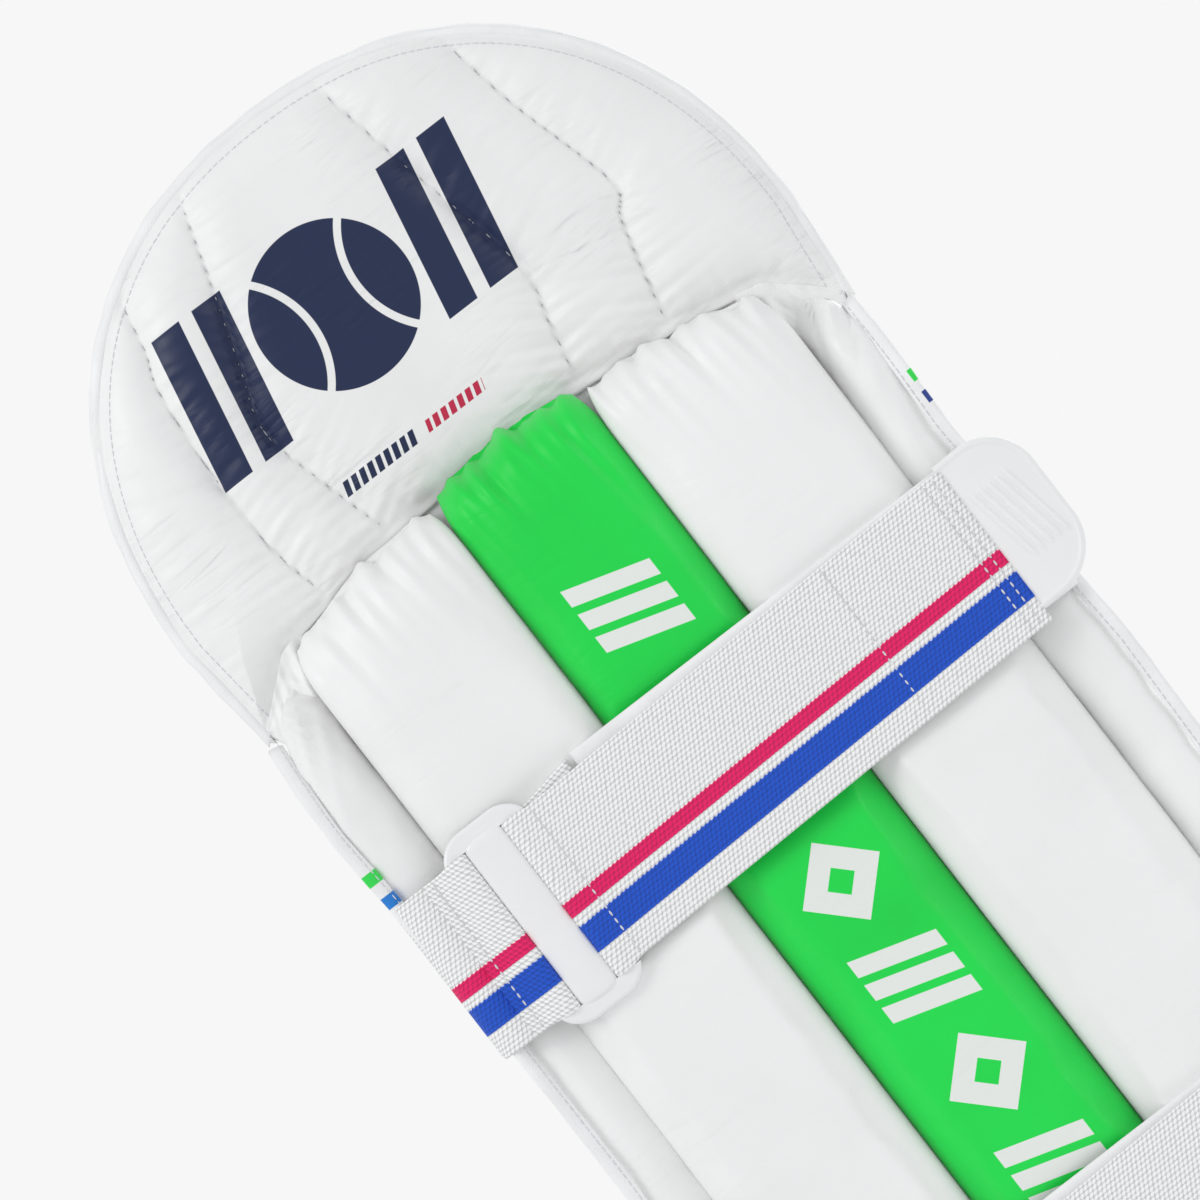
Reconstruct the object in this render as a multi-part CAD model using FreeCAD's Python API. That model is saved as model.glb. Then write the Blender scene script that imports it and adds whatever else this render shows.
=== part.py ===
import FreeCAD, Part
import math
import os

# Cricket batting leg pad, in millimetres, standing upright as it is worn.
# +Z runs up the leg and -Y is the outside of the pad. The wearer's leg is on +Y, and their left is +X.
# The origin is on the pad's centre line, level with its bottom end, just behind the shin's lining.

# Driving dimensions
PAD_HEIGHT = 710.0
BODY_HALF_ANGLE = 21.2       # half the shin's arc, in degrees, seen from above
ARC_CENTRE_Y = 258.0         # the shin's front is an arc about this vertical line
RIB_CREST_R = 300.0
RIB_VALLEY_R = 290.0
RIB_BACK_R = 284.0
BOARD_BACK_R = 276.0
KNEE_CREST_R = 312.0
RIB_COUNT = 7
SKIN = 1.5                   # coated fabric with its backing
INSTEP_TOP = 70.0
SHIN_BOTTOM = 72.0
SHIN_TOP = 408.0
KNEE_ROLL_HEIGHT = 44.0
BODY_TOP = 540.0
LINING_FRONT_Y = -4.0
LINING_REAR_Y = -2.8
BOLSTER_BOTTOM = 92.0
SIDE_BOLSTER_TOP = 541.0
CENTRE_BOLSTER_TOP = 551.0
BOLSTER_REAR_Y = 28.6
CENTRE_BOLSTER_REAR_Y = 25.0
BOLSTER_SEAM_X = 32.6        # where the centre cushion meets a side cushion
BOLSTER_SIDE_X = 105.0
WING_ROOT = (112.0, -8.5)    # the wing's sewn hinge line, seen from above
WING_TIP = (122.5, 22.0)
WING_R = 6.0                 # half the wing's thickness
WING_BOTTOM = 84.0
WING_TOP = 520.0
HAT_HALF_WIDTH = 135.0
HAT_ARCH_HEIGHT = 140.0
STRAP_HEIGHTS = {"upper": 423.0, "lower": 198.0}
WEBBING_WIDTH = 65.6
WEBBING_T = 1.8
STRAP_FLOOR_Y = 29.25        # underside of the webbing that lies on the cushions
BAND_WIDTH = 62.0
BAND_RISE = 6.0              # how far the band stands above the webbing's upper edge
BAR_Y = 33.35
ANCHOR_BAR_X = 102.1
STRAP_BAR_X = 78.5
BAR_R = 2.0
LOOP_R = 2.3                 # inside radius of a webbing loop round a bar
TAIL_UNDER_Y = 32.25         # underside of the strap's outer layer
TAIL_END_X = -114.6
TAB_END_X = -143.6


def vec(x, y, z=0.0):
    return FreeCAD.Vector(x, y, z)


def export(name, shape):
    shape.exportStep("parts/" + name + ".step")


def mirrored(shape):
    """The same piece on the other side of the pad."""
    return shape.mirror(vec(0, 0), vec(1, 0))


def line(a, b):
    return Part.LineSegment(a, b).toShape()


def arc(a, mid, b):
    return Part.Arc(a, mid, b).toShape()


def face(edges):
    return Part.Face(Part.Wire(Part.__sortEdges__(edges)))


def extrude_up(edges, bottom, top):
    """Extrude a closed outline, drawn seen from above, between two heights."""
    solid = face(edges).extrude(vec(0, 0, top - bottom))
    solid.translate(vec(0, 0, bottom))
    return solid


def box(x0, x1, y0, y1, z0, z1):
    return Part.makeBox(x1 - x0, y1 - y0, z1 - z0, vec(x0, y0, z0))


def cylinder_up(x, y, radius, bottom, top):
    return Part.makeCylinder(radius, top - bottom, vec(x, y, bottom))


def polar(radius, degrees):
    """A point on the shin's arc, at an angle from the centre line."""
    turn = math.radians(degrees)
    return vec(radius * math.sin(turn), ARC_CENTRE_Y - radius * math.cos(turn))


def arc_plate(inner_r, outer_r, half_angle, bottom, top):
    edges = [
        arc(polar(outer_r, -half_angle), polar(outer_r, 0), polar(outer_r, half_angle)),
        line(polar(outer_r, half_angle), polar(inner_r, half_angle)),
        arc(polar(inner_r, half_angle), polar(inner_r, 0), polar(inner_r, -half_angle)),
        line(polar(inner_r, -half_angle), polar(outer_r, -half_angle)),
    ]
    return extrude_up(edges, bottom, top)


# Shin face: one skin sewn into vertical ribs, each rib filled with foam round two rods.

RIB_STEP = 2 * BODY_HALF_ANGLE / RIB_COUNT
RIB_MARGIN = 0.35            # half of the seam between two ribs, in degrees
ROD_R = 3.0
ROD_AXIS_R = 290.2
ROD_OFFSET = 1.3             # of each rod from its rib's middle, in degrees


def rib_starts():
    return [-BODY_HALF_ANGLE + i * RIB_STEP for i in range(RIB_COUNT)]


def rib_pocket(start):
    low = start + RIB_MARGIN
    high = start + RIB_STEP - RIB_MARGIN
    mid = start + RIB_STEP / 2
    outer = RIB_VALLEY_R - SKIN
    back = RIB_BACK_R + SKIN
    edges = [
        arc(polar(outer, low), polar(RIB_CREST_R - SKIN, mid), polar(outer, high)),
        line(polar(outer, high), polar(back, high)),
        arc(polar(back, high), polar(back, mid), polar(back, low)),
        line(polar(back, low), polar(outer, low)),
    ]
    return extrude_up(edges, SHIN_BOTTOM + SKIN, SHIN_TOP - SKIN)


def rib_rods(start):
    mid = start + RIB_STEP / 2
    rods = []
    for offset in (-ROD_OFFSET, ROD_OFFSET):
        spot = polar(ROD_AXIS_R, mid + offset)
        rods.append(cylinder_up(spot.x, spot.y, ROD_R, SHIN_BOTTOM + 6, SHIN_TOP - 6))
    return rods


def make_shin_face():
    edges = []
    for start in rib_starts():
        end = start + RIB_STEP
        mid = start + RIB_STEP / 2
        edges.append(arc(polar(RIB_VALLEY_R, start), polar(RIB_CREST_R, mid), polar(RIB_VALLEY_R, end)))
    left = BODY_HALF_ANGLE
    edges.append(line(polar(RIB_VALLEY_R, left), polar(RIB_BACK_R, left)))
    edges.append(arc(polar(RIB_BACK_R, left), polar(RIB_BACK_R, 0), polar(RIB_BACK_R, -left)))
    edges.append(line(polar(RIB_BACK_R, -left), polar(RIB_VALLEY_R, -left)))
    cover = extrude_up(edges, SHIN_BOTTOM, SHIN_TOP)
    rods = []
    foams = []
    for start in rib_starts():
        pocket = rib_pocket(start)
        pair = rib_rods(start)
        cover = cover.cut(pocket)
        foams.append(pocket.cut(Part.makeCompound(pair)))
        rods.extend(pair)
    export("shin_face_cover", cover)
    export("shin_rib_foam", Part.makeCompound(foams))
    export("shin_cane_rods", Part.makeCompound(rods))


def make_core():
    """The stiff board behind the ribs, the soft foam behind it, and the rear lining sheet."""
    front_half = box(-150, 150, -100, LINING_FRONT_Y, 0, PAD_HEIGHT)
    board = arc_plate(BOARD_BACK_R, RIB_BACK_R, BODY_HALF_ANGLE, SHIN_BOTTOM, BODY_TOP)
    export("shin_core_board", board.common(front_half))
    round_back = cylinder_up(0, ARC_CENTRE_Y, BOARD_BACK_R, SHIN_BOTTOM, BODY_TOP)
    export("shin_core_foam", round_back.common(front_half))
    lining_half_width = 101.0
    lining = box(-lining_half_width, lining_half_width, LINING_FRONT_Y, LINING_REAR_Y, SHIN_BOTTOM, BODY_TOP)
    export("body_lining", lining)


def make_hat_hinge_strip():
    """Fabric strip that stands up from the core to the top hat's seam."""
    half_width = 70.0
    strip = box(-half_width, half_width, -9.0, -7.5, BODY_TOP, 550.5)
    export("hat_hinge_strip", strip)


def make_side_bindings():
    """Tape that closes the shin's two side edges."""
    tape_t = 1.4
    tape_back_r = 281.0
    tape_front_r = 290.0
    tape = box(0, tape_t, ARC_CENTRE_Y - tape_front_r, ARC_CENTRE_Y - tape_back_r, SHIN_BOTTOM, BODY_TOP)
    tape.rotate(vec(0, ARC_CENTRE_Y), vec(0, 0, 1), BODY_HALF_ANGLE)
    export("left_side_binding", tape)
    export("right_side_binding", mirrored(tape))


# Knee rolls: three horizontal rolls round the shin's arc, above the ribs.

KNEE_SHOULDER_R = 292.0
KNEE_END_CAP = 0.35          # thickness of a roll's end cap, in degrees


def knee_roll(bottom, top, inset, half_angle):
    back = RIB_BACK_R + inset
    low = bottom + inset
    high = top - inset
    middle = (bottom + top) / 2

    def at(radius, z):
        return vec(0, ARC_CENTRE_Y - radius, z)

    edges = [
        line(at(back, low), at(KNEE_SHOULDER_R, low)),
        arc(at(KNEE_SHOULDER_R, low), at(KNEE_CREST_R - inset, middle), at(KNEE_SHOULDER_R, high)),
        line(at(KNEE_SHOULDER_R, high), at(back, high)),
        line(at(back, high), at(back, low)),
    ]
    section = face(edges)
    section.rotate(vec(0, ARC_CENTRE_Y), vec(0, 0, 1), -half_angle)
    return section.revolve(vec(0, ARC_CENTRE_Y), vec(0, 0, 1), 2 * half_angle)


def make_knee_rolls():
    knee_bottom = 411.0
    for i, name in enumerate(("lower", "middle", "upper")):
        bottom = knee_bottom + i * KNEE_ROLL_HEIGHT
        top = bottom + KNEE_ROLL_HEIGHT - 0.2
        outside = knee_roll(bottom, top, 0, BODY_HALF_ANGLE)
        inside = knee_roll(bottom, top, SKIN, BODY_HALF_ANGLE - KNEE_END_CAP)
        export("knee_roll_" + name + "_cover", outside.cut(inside))
        export("knee_roll_" + name + "_foam", inside)


def make_instep():
    """The padded bottom end, arched to sit over the boot."""
    arch_half_width = 62.0
    arch_height = 34.0

    def arched(inset, half_angle):
        plate = arc_plate(RIB_BACK_R + inset, 297.0 - inset, half_angle, inset, INSTEP_TOP - inset)
        arch = Part.Ellipse(vec(0, 0), arch_half_width + inset, arch_height + inset).toShape()
        tunnel = Part.Face(Part.Wire([arch])).extrude(vec(0, 0, 200))
        tunnel.rotate(vec(0, 0), vec(1, 0, 0), 90)
        tunnel.translate(vec(0, 50))
        return plate.cut(tunnel)

    inside = arched(SKIN, BODY_HALF_ANGLE - RIB_MARGIN)
    export("instep_cover", arched(0, BODY_HALF_ANGLE).cut(inside))
    export("instep_foam", inside)


# Rear cushions: three long bolsters between the lining and the wearer's leg.

def rounded_box(x0, x1, y0, y1, z0, z1, radius):
    solid = box(x0, x1, y0, y1, z0, z1)
    rear_edges = [edge for edge in solid.Edges if edge.BoundBox.YMax > y1 - 0.01]
    return solid.makeFillet(radius, rear_edges)


def make_bolster(name, x0, x1, rear, top):
    corner_r = 9.0
    outside = rounded_box(x0, x1, LINING_REAR_Y, rear, BOLSTER_BOTTOM, top, corner_r)
    inside = rounded_box(x0 + SKIN, x1 - SKIN, LINING_REAR_Y + SKIN, rear - SKIN,
                         BOLSTER_BOTTOM + SKIN, top - SKIN, corner_r - SKIN)
    export(name + "_bolster_cover", outside.cut(inside))
    export(name + "_bolster_foam", inside)


def make_bolsters():
    seam_gap = 0.1
    side_in = BOLSTER_SEAM_X + seam_gap
    centre_out = BOLSTER_SEAM_X - seam_gap
    make_bolster("left", side_in, BOLSTER_SIDE_X, BOLSTER_REAR_Y, SIDE_BOLSTER_TOP)
    make_bolster("centre", -centre_out, centre_out, CENTRE_BOLSTER_REAR_Y, CENTRE_BOLSTER_TOP)
    make_bolster("right", -BOLSTER_SIDE_X, -side_in, BOLSTER_REAR_Y, SIDE_BOLSTER_TOP)


# Wings: padded side flaps, each hinged on the line where it is sewn to the shin's edge.

root_point = vec(*WING_ROOT)
tip_point = vec(*WING_TIP)
along_wing = (tip_point - root_point).normalize()
out_of_wing = vec(along_wing.y, -along_wing.x)
BINDING_T = 1.15
WEBBING_OFFSET = STRAP_FLOOR_Y - WING_TIP[1]     # from the wing's middle plane to the webbing on it


def wing_solid(radius, bottom, top):
    edges = [
        line(root_point + out_of_wing * radius, tip_point + out_of_wing * radius),
        arc(tip_point + out_of_wing * radius, tip_point + along_wing * radius, tip_point - out_of_wing * radius),
        line(tip_point - out_of_wing * radius, root_point - out_of_wing * radius),
        arc(root_point - out_of_wing * radius, root_point - along_wing * radius, root_point + out_of_wing * radius),
    ]
    return extrude_up(edges, bottom, top)


def tip_strip(inner_r, outer_r, end_degrees, bottom, top):
    """A strip bent round the wing's free edge, from its outer face to a direction seen from above."""
    start_degrees = math.degrees(math.atan2(out_of_wing.y, out_of_wing.x))

    def at(radius, degrees):
        turn = math.radians(degrees)
        return tip_point + vec(radius * math.cos(turn), radius * math.sin(turn))

    middle = (start_degrees + end_degrees) / 2
    edges = [
        arc(at(outer_r, start_degrees), at(outer_r, middle), at(outer_r, end_degrees)),
        line(at(outer_r, end_degrees), at(inner_r, end_degrees)),
        arc(at(inner_r, end_degrees), at(inner_r, middle), at(inner_r, start_degrees)),
        line(at(inner_r, start_degrees), at(outer_r, start_degrees)),
    ]
    return extrude_up(edges, bottom, top)


def webbing_round_wing(inner_x, bottom, top):
    """Webbing sewn on the wing's outer face, bent over its edge and lying flat as far as inner_x."""
    sewn_from = 8.0
    near = WEBBING_OFFSET
    far = WEBBING_OFFSET + WEBBING_T
    sewn_end = root_point + along_wing * sewn_from
    outer_run = extrude_up([
        line(sewn_end + out_of_wing * near, tip_point + out_of_wing * near),
        line(tip_point + out_of_wing * near, tip_point + out_of_wing * far),
        line(tip_point + out_of_wing * far, sewn_end + out_of_wing * far),
        line(sewn_end + out_of_wing * far, sewn_end + out_of_wing * near),
    ], bottom, top)
    bend = tip_strip(near, far, 90.0, bottom, top)
    flat_run = box(inner_x, tip_point.x, STRAP_FLOOR_Y, STRAP_FLOOR_Y + WEBBING_T, bottom, top)
    return outer_run.fuse([bend, flat_run]).removeSplitter()


def make_wings():
    skin = 1.2
    outside = wing_solid(WING_R, WING_BOTTOM, WING_TOP)
    foam = wing_solid(WING_R - skin, WING_BOTTOM + skin, WING_TOP - skin)
    cover = outside.cut(foam)
    binding = tip_strip(WING_R, WING_R + BINDING_T, 75.0, WING_BOTTOM, WING_TOP)
    for name, shape in (("cover", cover), ("foam", foam), ("binding", binding)):
        export("left_wing_" + name, shape)
        export("right_wing_" + name, mirrored(shape))


# Straps: webbing anchored on the left wing, a three-bar ring, and a tail that closes on a band.

def folded_loop(bar_x, fold_end_x, fold_end_top, bottom, top):
    """Webbing folded round a bar and sewn to itself as far as fold_end_x."""
    loop_outer = LOOP_R + WEBBING_T
    wedge = extrude_up([
        line(vec(bar_x, STRAP_FLOOR_Y), vec(bar_x, BAR_Y + loop_outer)),
        line(vec(bar_x, BAR_Y + loop_outer), vec(fold_end_x, fold_end_top)),
        line(vec(fold_end_x, fold_end_top), vec(fold_end_x, STRAP_FLOOR_Y)),
        line(vec(fold_end_x, STRAP_FLOOR_Y), vec(bar_x, STRAP_FLOOR_Y)),
    ], bottom, top)
    return wedge.fuse(cylinder_up(bar_x, BAR_Y, loop_outer, bottom, top))


def bar_hole(bar_x, bottom, top):
    return cylinder_up(bar_x, BAR_Y, LOOP_R, bottom - 1, top + 1)


def make_anchor(name, centre):
    bottom = centre - WEBBING_WIDTH / 2
    top = centre + WEBBING_WIDTH / 2
    fold_end_x = 117.0
    fold = folded_loop(ANCHOR_BAR_X, fold_end_x, STRAP_FLOOR_Y + 2 * WEBBING_T, bottom, top)
    anchor = webbing_round_wing(ANCHOR_BAR_X, bottom, top).fuse(fold)
    export(name + "_anchor_webbing", anchor.cut(bar_hole(ANCHOR_BAR_X, bottom, top)).removeSplitter())


def make_ring(name, centre):
    x0 = 71.0
    x1 = 108.0
    half_height = 40.5
    corner_r = 12.0
    thickness = 4.4
    slot_half_height = 33.6
    plate_x0 = 84.0
    plate_x1 = 96.4
    edge_r = 1.4
    blank = box(x0, x1, BAR_Y - thickness / 2, BAR_Y + thickness / 2, centre - half_height, centre + half_height)
    corners = [edge for edge in blank.Edges if edge.BoundBox.YLength > thickness - 0.01]
    blank = blank.makeFillet(corner_r, corners)
    rims = [edge for edge in blank.Edges if edge.BoundBox.YLength < 0.01]
    blank = blank.makeFillet(edge_r, rims)
    low = centre - slot_half_height
    high = centre + slot_half_height
    for near, far in ((x0 - 1, plate_x0), (plate_x1, x1 + 1)):
        blank = blank.cut(box(near, far, BAR_Y - thickness, BAR_Y + thickness, low, high))
    bars = [cylinder_up(x, BAR_Y, BAR_R, low - 2, high + 2) for x in (ANCHOR_BAR_X, STRAP_BAR_X)]
    export(name + "_strap_ring", blank.fuse(bars).removeSplitter())


def make_tail(name, centre):
    """The strap's free end: webbing, the hook patch under it and the moulded pull tab."""
    bottom = centre - WEBBING_WIDTH / 2
    top = centre + WEBBING_WIDTH / 2
    fold_end_x = 50.0
    tail_top_y = TAIL_UNDER_Y + WEBBING_T
    fold = folded_loop(STRAP_BAR_X, fold_end_x, tail_top_y, bottom, top)
    run = box(TAIL_END_X, fold_end_x, TAIL_UNDER_Y, tail_top_y, bottom, top)
    webbing = run.fuse(fold).cut(bar_hole(STRAP_BAR_X, bottom, top)).removeSplitter()
    export(name + "_strap_webbing", webbing)

    patch_t = 1.0
    tab_under_y = TAIL_UNDER_Y - patch_t
    tongue_x = TAIL_END_X + 10
    patch_half = 29.0
    patch_x1 = -60.6
    patch = box(tongue_x + 0.2, patch_x1, tab_under_y, TAIL_UNDER_Y, centre - patch_half, centre + patch_half)
    export(name + "_hook_patch", patch)

    tab_half = 32.5
    tab_corner_r = 20.0
    tab = box(TAB_END_X, TAIL_END_X - 0.1, tab_under_y, tail_top_y, centre - tab_half, centre + tab_half)
    corners = [edge for edge in tab.Edges
               if edge.BoundBox.XMax < TAB_END_X + 0.01 and edge.BoundBox.YLength > 1]
    tab = tab.makeFillet(tab_corner_r, corners)
    tongue = box(TAIL_END_X - 0.1, tongue_x, tab_under_y, TAIL_UNDER_Y, centre - patch_half, centre + patch_half)
    export(name + "_pull_tab", tab.fuse(tongue).removeSplitter())


def make_band(name, centre):
    """Loop-faced band: its root is sewn on the right wing and its free part lies on the cushions."""
    top = centre + WEBBING_WIDTH / 2 + BAND_RISE
    bottom = top - BAND_WIDTH
    split_x = 112.5
    free_end_x = 48.0
    root = mirrored(webbing_round_wing(split_x, bottom, top))
    export(name + "_band_root", root)
    free = box(-split_x + 0.3, free_end_x, STRAP_FLOOR_Y, STRAP_FLOOR_Y + WEBBING_T, bottom, top)
    export(name + "_band", free)


# Top hat: the padded flap above the knee, thin at its sewn lower edge and bound all round.

HAT_SHOULDER_Z = PAD_HEIGHT - HAT_ARCH_HEIGHT


def hat_outline(inset):
    """The hat seen from the front: a full arch, straight sides and an arched lower edge."""
    fullness = 2 / 2.2       # an exponent of 2.2, a little squarer than an ellipse
    steps = 24
    curve = []
    for i in range(steps + 1):
        turn = math.pi * i / steps
        across = math.cos(turn)
        wide = math.copysign(abs(across) ** fullness, across)
        high = math.sin(turn) ** fullness if 0 < i < steps else 0.0
        curve.append(vec((HAT_HALF_WIDTH - inset) * wide, 0, HAT_SHOULDER_Z + (HAT_ARCH_HEIGHT - inset) * high))
    arch = Part.BSplineCurve()
    arch.interpolate(curve)
    corner = vec(131.0 - inset, 0, 527.0 + inset * 1.6)
    notch = vec(106.0, 0, 549.0 + inset)
    crown = vec(0, 0, 560.0 + inset)
    left_corner = vec(-corner.x, 0, corner.z)
    left_notch = vec(-notch.x, 0, notch.z)
    edges = [
        arch.toShape(),
        line(curve[0], corner),
        line(corner, notch),
        arc(notch, crown, left_notch),
        line(left_notch, left_corner),
        line(left_corner, curve[-1]),
    ]
    solid = face(edges).extrude(vec(0, 80, 0))
    solid.translate(vec(0, -40, 0))
    return solid


def hat_layer(front_inset, rear_inset, thickness_from_front=None, thickness_from_rear=None):
    """A slice of the hat's side profile, which is thinner at the sewn lower edge."""
    heights = (520.0, 545.0, 590.0, PAD_HEIGHT + 5)
    front = (-13.0, -14.0, -22.0, -22.0)
    rear = (-3.0, -3.0, 9.0, 9.0)
    near = [y + front_inset for y in front]
    far = [y - rear_inset for y in rear]
    if thickness_from_front is not None:
        far = [y + thickness_from_front for y in near]
    if thickness_from_rear is not None:
        near = [y - thickness_from_rear for y in far]
    points = [vec(-150, y, z) for y, z in zip(near, heights)]
    points += [vec(-150, y, z) for y, z in reversed(list(zip(far, heights)))]
    points.append(points[0])
    return Part.Face(Part.makePolygon(points)).extrude(vec(300, 0, 0))


def make_top_hat():
    edge_t = 2.0
    board_t = 3.0
    outline = hat_outline(0)
    inner = hat_outline(edge_t)
    whole = hat_layer(0, 0)
    export("top_hat_binding", outline.cut(inner).common(whole))
    export("top_hat_front_cover", inner.common(hat_layer(0, 0, thickness_from_front=SKIN)))
    export("top_hat_board", inner.common(hat_layer(SKIN, 0, thickness_from_front=board_t)))
    export("top_hat_foam", inner.common(hat_layer(SKIN + board_t, SKIN)))
    export("top_hat_lining", inner.common(hat_layer(0, 0, thickness_from_rear=SKIN)))


os.makedirs("parts", exist_ok=True)
make_shin_face()
make_core()
make_hat_hinge_strip()
make_side_bindings()
make_knee_rolls()
make_instep()
make_bolsters()
make_wings()
for strap_name, strap_height in STRAP_HEIGHTS.items():
    make_anchor(strap_name, strap_height)
    make_ring(strap_name, strap_height)
    make_tail(strap_name, strap_height)
    make_band(strap_name, strap_height)
make_top_hat()
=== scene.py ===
# %% [markdown]
# # A cricket leg pad
# A batting pad is a soft shell: coated fabric sewn round foam, stiffened at the front, with long
# cushions against the leg, padded wings at the sides and straps that close over moulded rings.
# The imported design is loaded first, and every piece below takes its place from it.

# %% Load the frame
import math

import bmesh
import bpy
import numpy as np
from mathutils import Matrix, Vector


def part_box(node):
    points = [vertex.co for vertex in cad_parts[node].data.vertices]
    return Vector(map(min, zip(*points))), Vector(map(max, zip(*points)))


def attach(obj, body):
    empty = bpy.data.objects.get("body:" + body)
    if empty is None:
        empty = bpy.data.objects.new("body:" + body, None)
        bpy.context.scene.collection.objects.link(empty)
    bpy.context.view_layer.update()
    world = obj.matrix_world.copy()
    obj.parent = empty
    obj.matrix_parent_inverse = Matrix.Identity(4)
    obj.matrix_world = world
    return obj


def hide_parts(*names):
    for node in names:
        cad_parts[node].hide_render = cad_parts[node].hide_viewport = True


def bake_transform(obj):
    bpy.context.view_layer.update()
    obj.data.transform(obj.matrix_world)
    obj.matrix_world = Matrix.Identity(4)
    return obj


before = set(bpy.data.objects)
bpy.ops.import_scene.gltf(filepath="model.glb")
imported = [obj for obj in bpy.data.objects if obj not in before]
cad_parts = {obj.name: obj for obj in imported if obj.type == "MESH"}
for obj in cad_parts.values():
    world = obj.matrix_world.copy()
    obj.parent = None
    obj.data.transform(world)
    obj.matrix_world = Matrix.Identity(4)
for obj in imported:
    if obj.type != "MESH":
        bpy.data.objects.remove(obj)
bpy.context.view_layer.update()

MM = 0.001

# %% [markdown]
# ## Reading sizes from the frame
# All lengths below are in millimetres, because that is how a pad is cut and sewn. One helper gives a
# node's box in millimetres, and one makes a mesh from points, turning them into metres on the way.

# %% Small helpers for meshes
def box_mm(node):
    low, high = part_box(node)
    return np.array(low) / MM, np.array(high) / MM


def make_piece(name, points, faces, uv=None):
    mesh = bpy.data.meshes.new(name)
    mesh.from_pydata([tuple(p) for p in np.asarray(points) * MM], [], faces)
    mesh.validate()
    if uv is not None:
        layer = mesh.uv_layers.new(name="cloth")
        corners = np.zeros(len(mesh.loops), dtype=int)
        mesh.loops.foreach_get("vertex_index", corners)
        layer.data.foreach_set("uv", (np.asarray(uv) * MM)[corners].ravel())
    mesh.shade_smooth()
    piece = bpy.data.objects.new(name, mesh)
    bpy.context.scene.collection.objects.link(piece)
    return piece

# %% [markdown]
# ## Reading and moving points
# A mesh's points are read and written as one array, which is far quicker than going point by point.
# Folds and gathers are then a few sums on that array.

# %% Points as arrays
def points_of(piece):
    flat = np.empty(len(piece.data.vertices) * 3)
    piece.data.vertices.foreach_get("co", flat)
    return flat.reshape(-1, 3) / MM


def move_points(piece, points):
    piece.data.vertices.foreach_set("co", (points * MM).ravel())
    piece.data.update()

# %% [markdown]
# ## Clean closed meshes
# A closed skin has its doubled points merged and its faces turned outwards, so that light and the
# printed model read it the right way. Modifiers are turned into plain mesh as soon as they are done.

# %% Tidy a mesh
def outward(piece):
    """Merge doubles and turn every face of a closed mesh outwards."""
    work = bmesh.new()
    work.from_mesh(piece.data)
    bmesh.ops.remove_doubles(work, verts=work.verts, dist=0.01 * MM)
    bmesh.ops.recalc_face_normals(work, faces=work.faces)
    work.to_mesh(piece.data)
    work.free()
    piece.data.shade_smooth()
    return piece


def with_modifiers(piece):
    """Turn a piece's modifiers into plain mesh and take them off."""
    view = bpy.context.evaluated_depsgraph_get()
    mesh = bpy.data.meshes.new_from_object(piece.evaluated_get(view))
    piece.modifiers.clear()
    old = piece.data
    piece.data = mesh
    bpy.data.meshes.remove(old)
    piece.data.shade_smooth()
    return piece


def smoother(piece, levels=1):
    step = piece.modifiers.new("smoother", "SUBSURF")
    step.levels = levels
    step.render_levels = levels
    return with_modifiers(piece)

# %% [markdown]
# ## Lofting
# Most padded pieces are long tubes, so each starts as a loft: rings of points, one after another,
# joined by quads and closed at both ends. Quads that follow the piece fold better than a scanned mesh.

# %% Loft rings into a closed skin
def loft(name, rings):
    rings = np.asarray(rings)
    count, around = rings.shape[:2]
    points = rings.reshape(-1, 3)
    faces = []
    for i in range(count - 1):
        for j in range(around):
            k = (j + 1) % around
            faces.append((i * around + j, i * around + k, (i + 1) * around + k, (i + 1) * around + j))
    first = len(points)
    points = np.vstack([points, rings[0].mean(axis=0), rings[-1].mean(axis=0)])
    last_ring = (count - 1) * around
    for j in range(around):
        k = (j + 1) % around
        faces.append((first, k, j))
        faces.append((first + 1, last_ring + j, last_ring + k))
    return outward(make_piece(name, points, faces))

# %% [markdown]
# ## Two faces and ovals
# A flat padded part has an outer and an inner face that meet round the rim, so two grids of points are
# sewn into one skin. Tubes start from an oval whose points are evenly spaced.

# %% Sew two grids, and draw ovals
def two_faces(name, outer, inner):
    """Close a grid of outer points and its matching grid of inner points into one skin."""
    rows, columns = outer.shape[:2]
    count = rows * columns
    points = np.vstack([outer.reshape(-1, 3), inner.reshape(-1, 3)])
    faces = []
    for i in range(rows - 1):
        for j in range(columns - 1):
            a = i * columns + j
            quad = (a, a + 1, a + columns + 1, a + columns)
            faces.append(quad)
            faces.append(tuple(count + v for v in reversed(quad)))
    rim = list(range(columns)) + [i * columns + columns - 1 for i in range(1, rows)]
    rim += [(rows - 1) * columns + j for j in range(columns - 2, -1, -1)]
    rim += [i * columns for i in range(rows - 2, 0, -1)]
    for a, b in zip(rim, rim[1:] + rim[:1]):
        faces.append((a, a + count, b + count, b))
    return outward(make_piece(name, points, faces))


def even_ring(ring, count):
    """The same closed outline with its points evenly spaced."""
    closed = np.vstack([ring, ring[:1]])
    steps = np.linalg.norm(np.diff(closed, axis=0), axis=1)
    along = np.concatenate([[0], np.cumsum(steps)])
    wanted = np.linspace(0, along[-1], count, endpoint=False)
    return np.stack([np.interp(wanted, along, closed[:, i]) for i in range(closed.shape[1])], axis=1)


def full_oval(half_wide, half_deep, power, count):
    """An oval between an ellipse (power 2) and a box (large power), from the middle."""
    turn = np.linspace(0, 2 * math.pi, 240, endpoint=False)
    x = half_wide * np.sign(np.cos(turn)) * np.abs(np.cos(turn)) ** (2 / power)
    y = half_deep * np.sign(np.sin(turn)) * np.abs(np.sin(turn)) ** (2 / power)
    return even_ring(np.stack([x, y], axis=1), count)

# %% [markdown]
# ## Folds in cloth
# Sewn cloth is never smooth: it gathers at a seam and creases where it bends. `ripple` is a smooth,
# repeatable wander made of a few waves, and a seed makes each fold its own.

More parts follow.
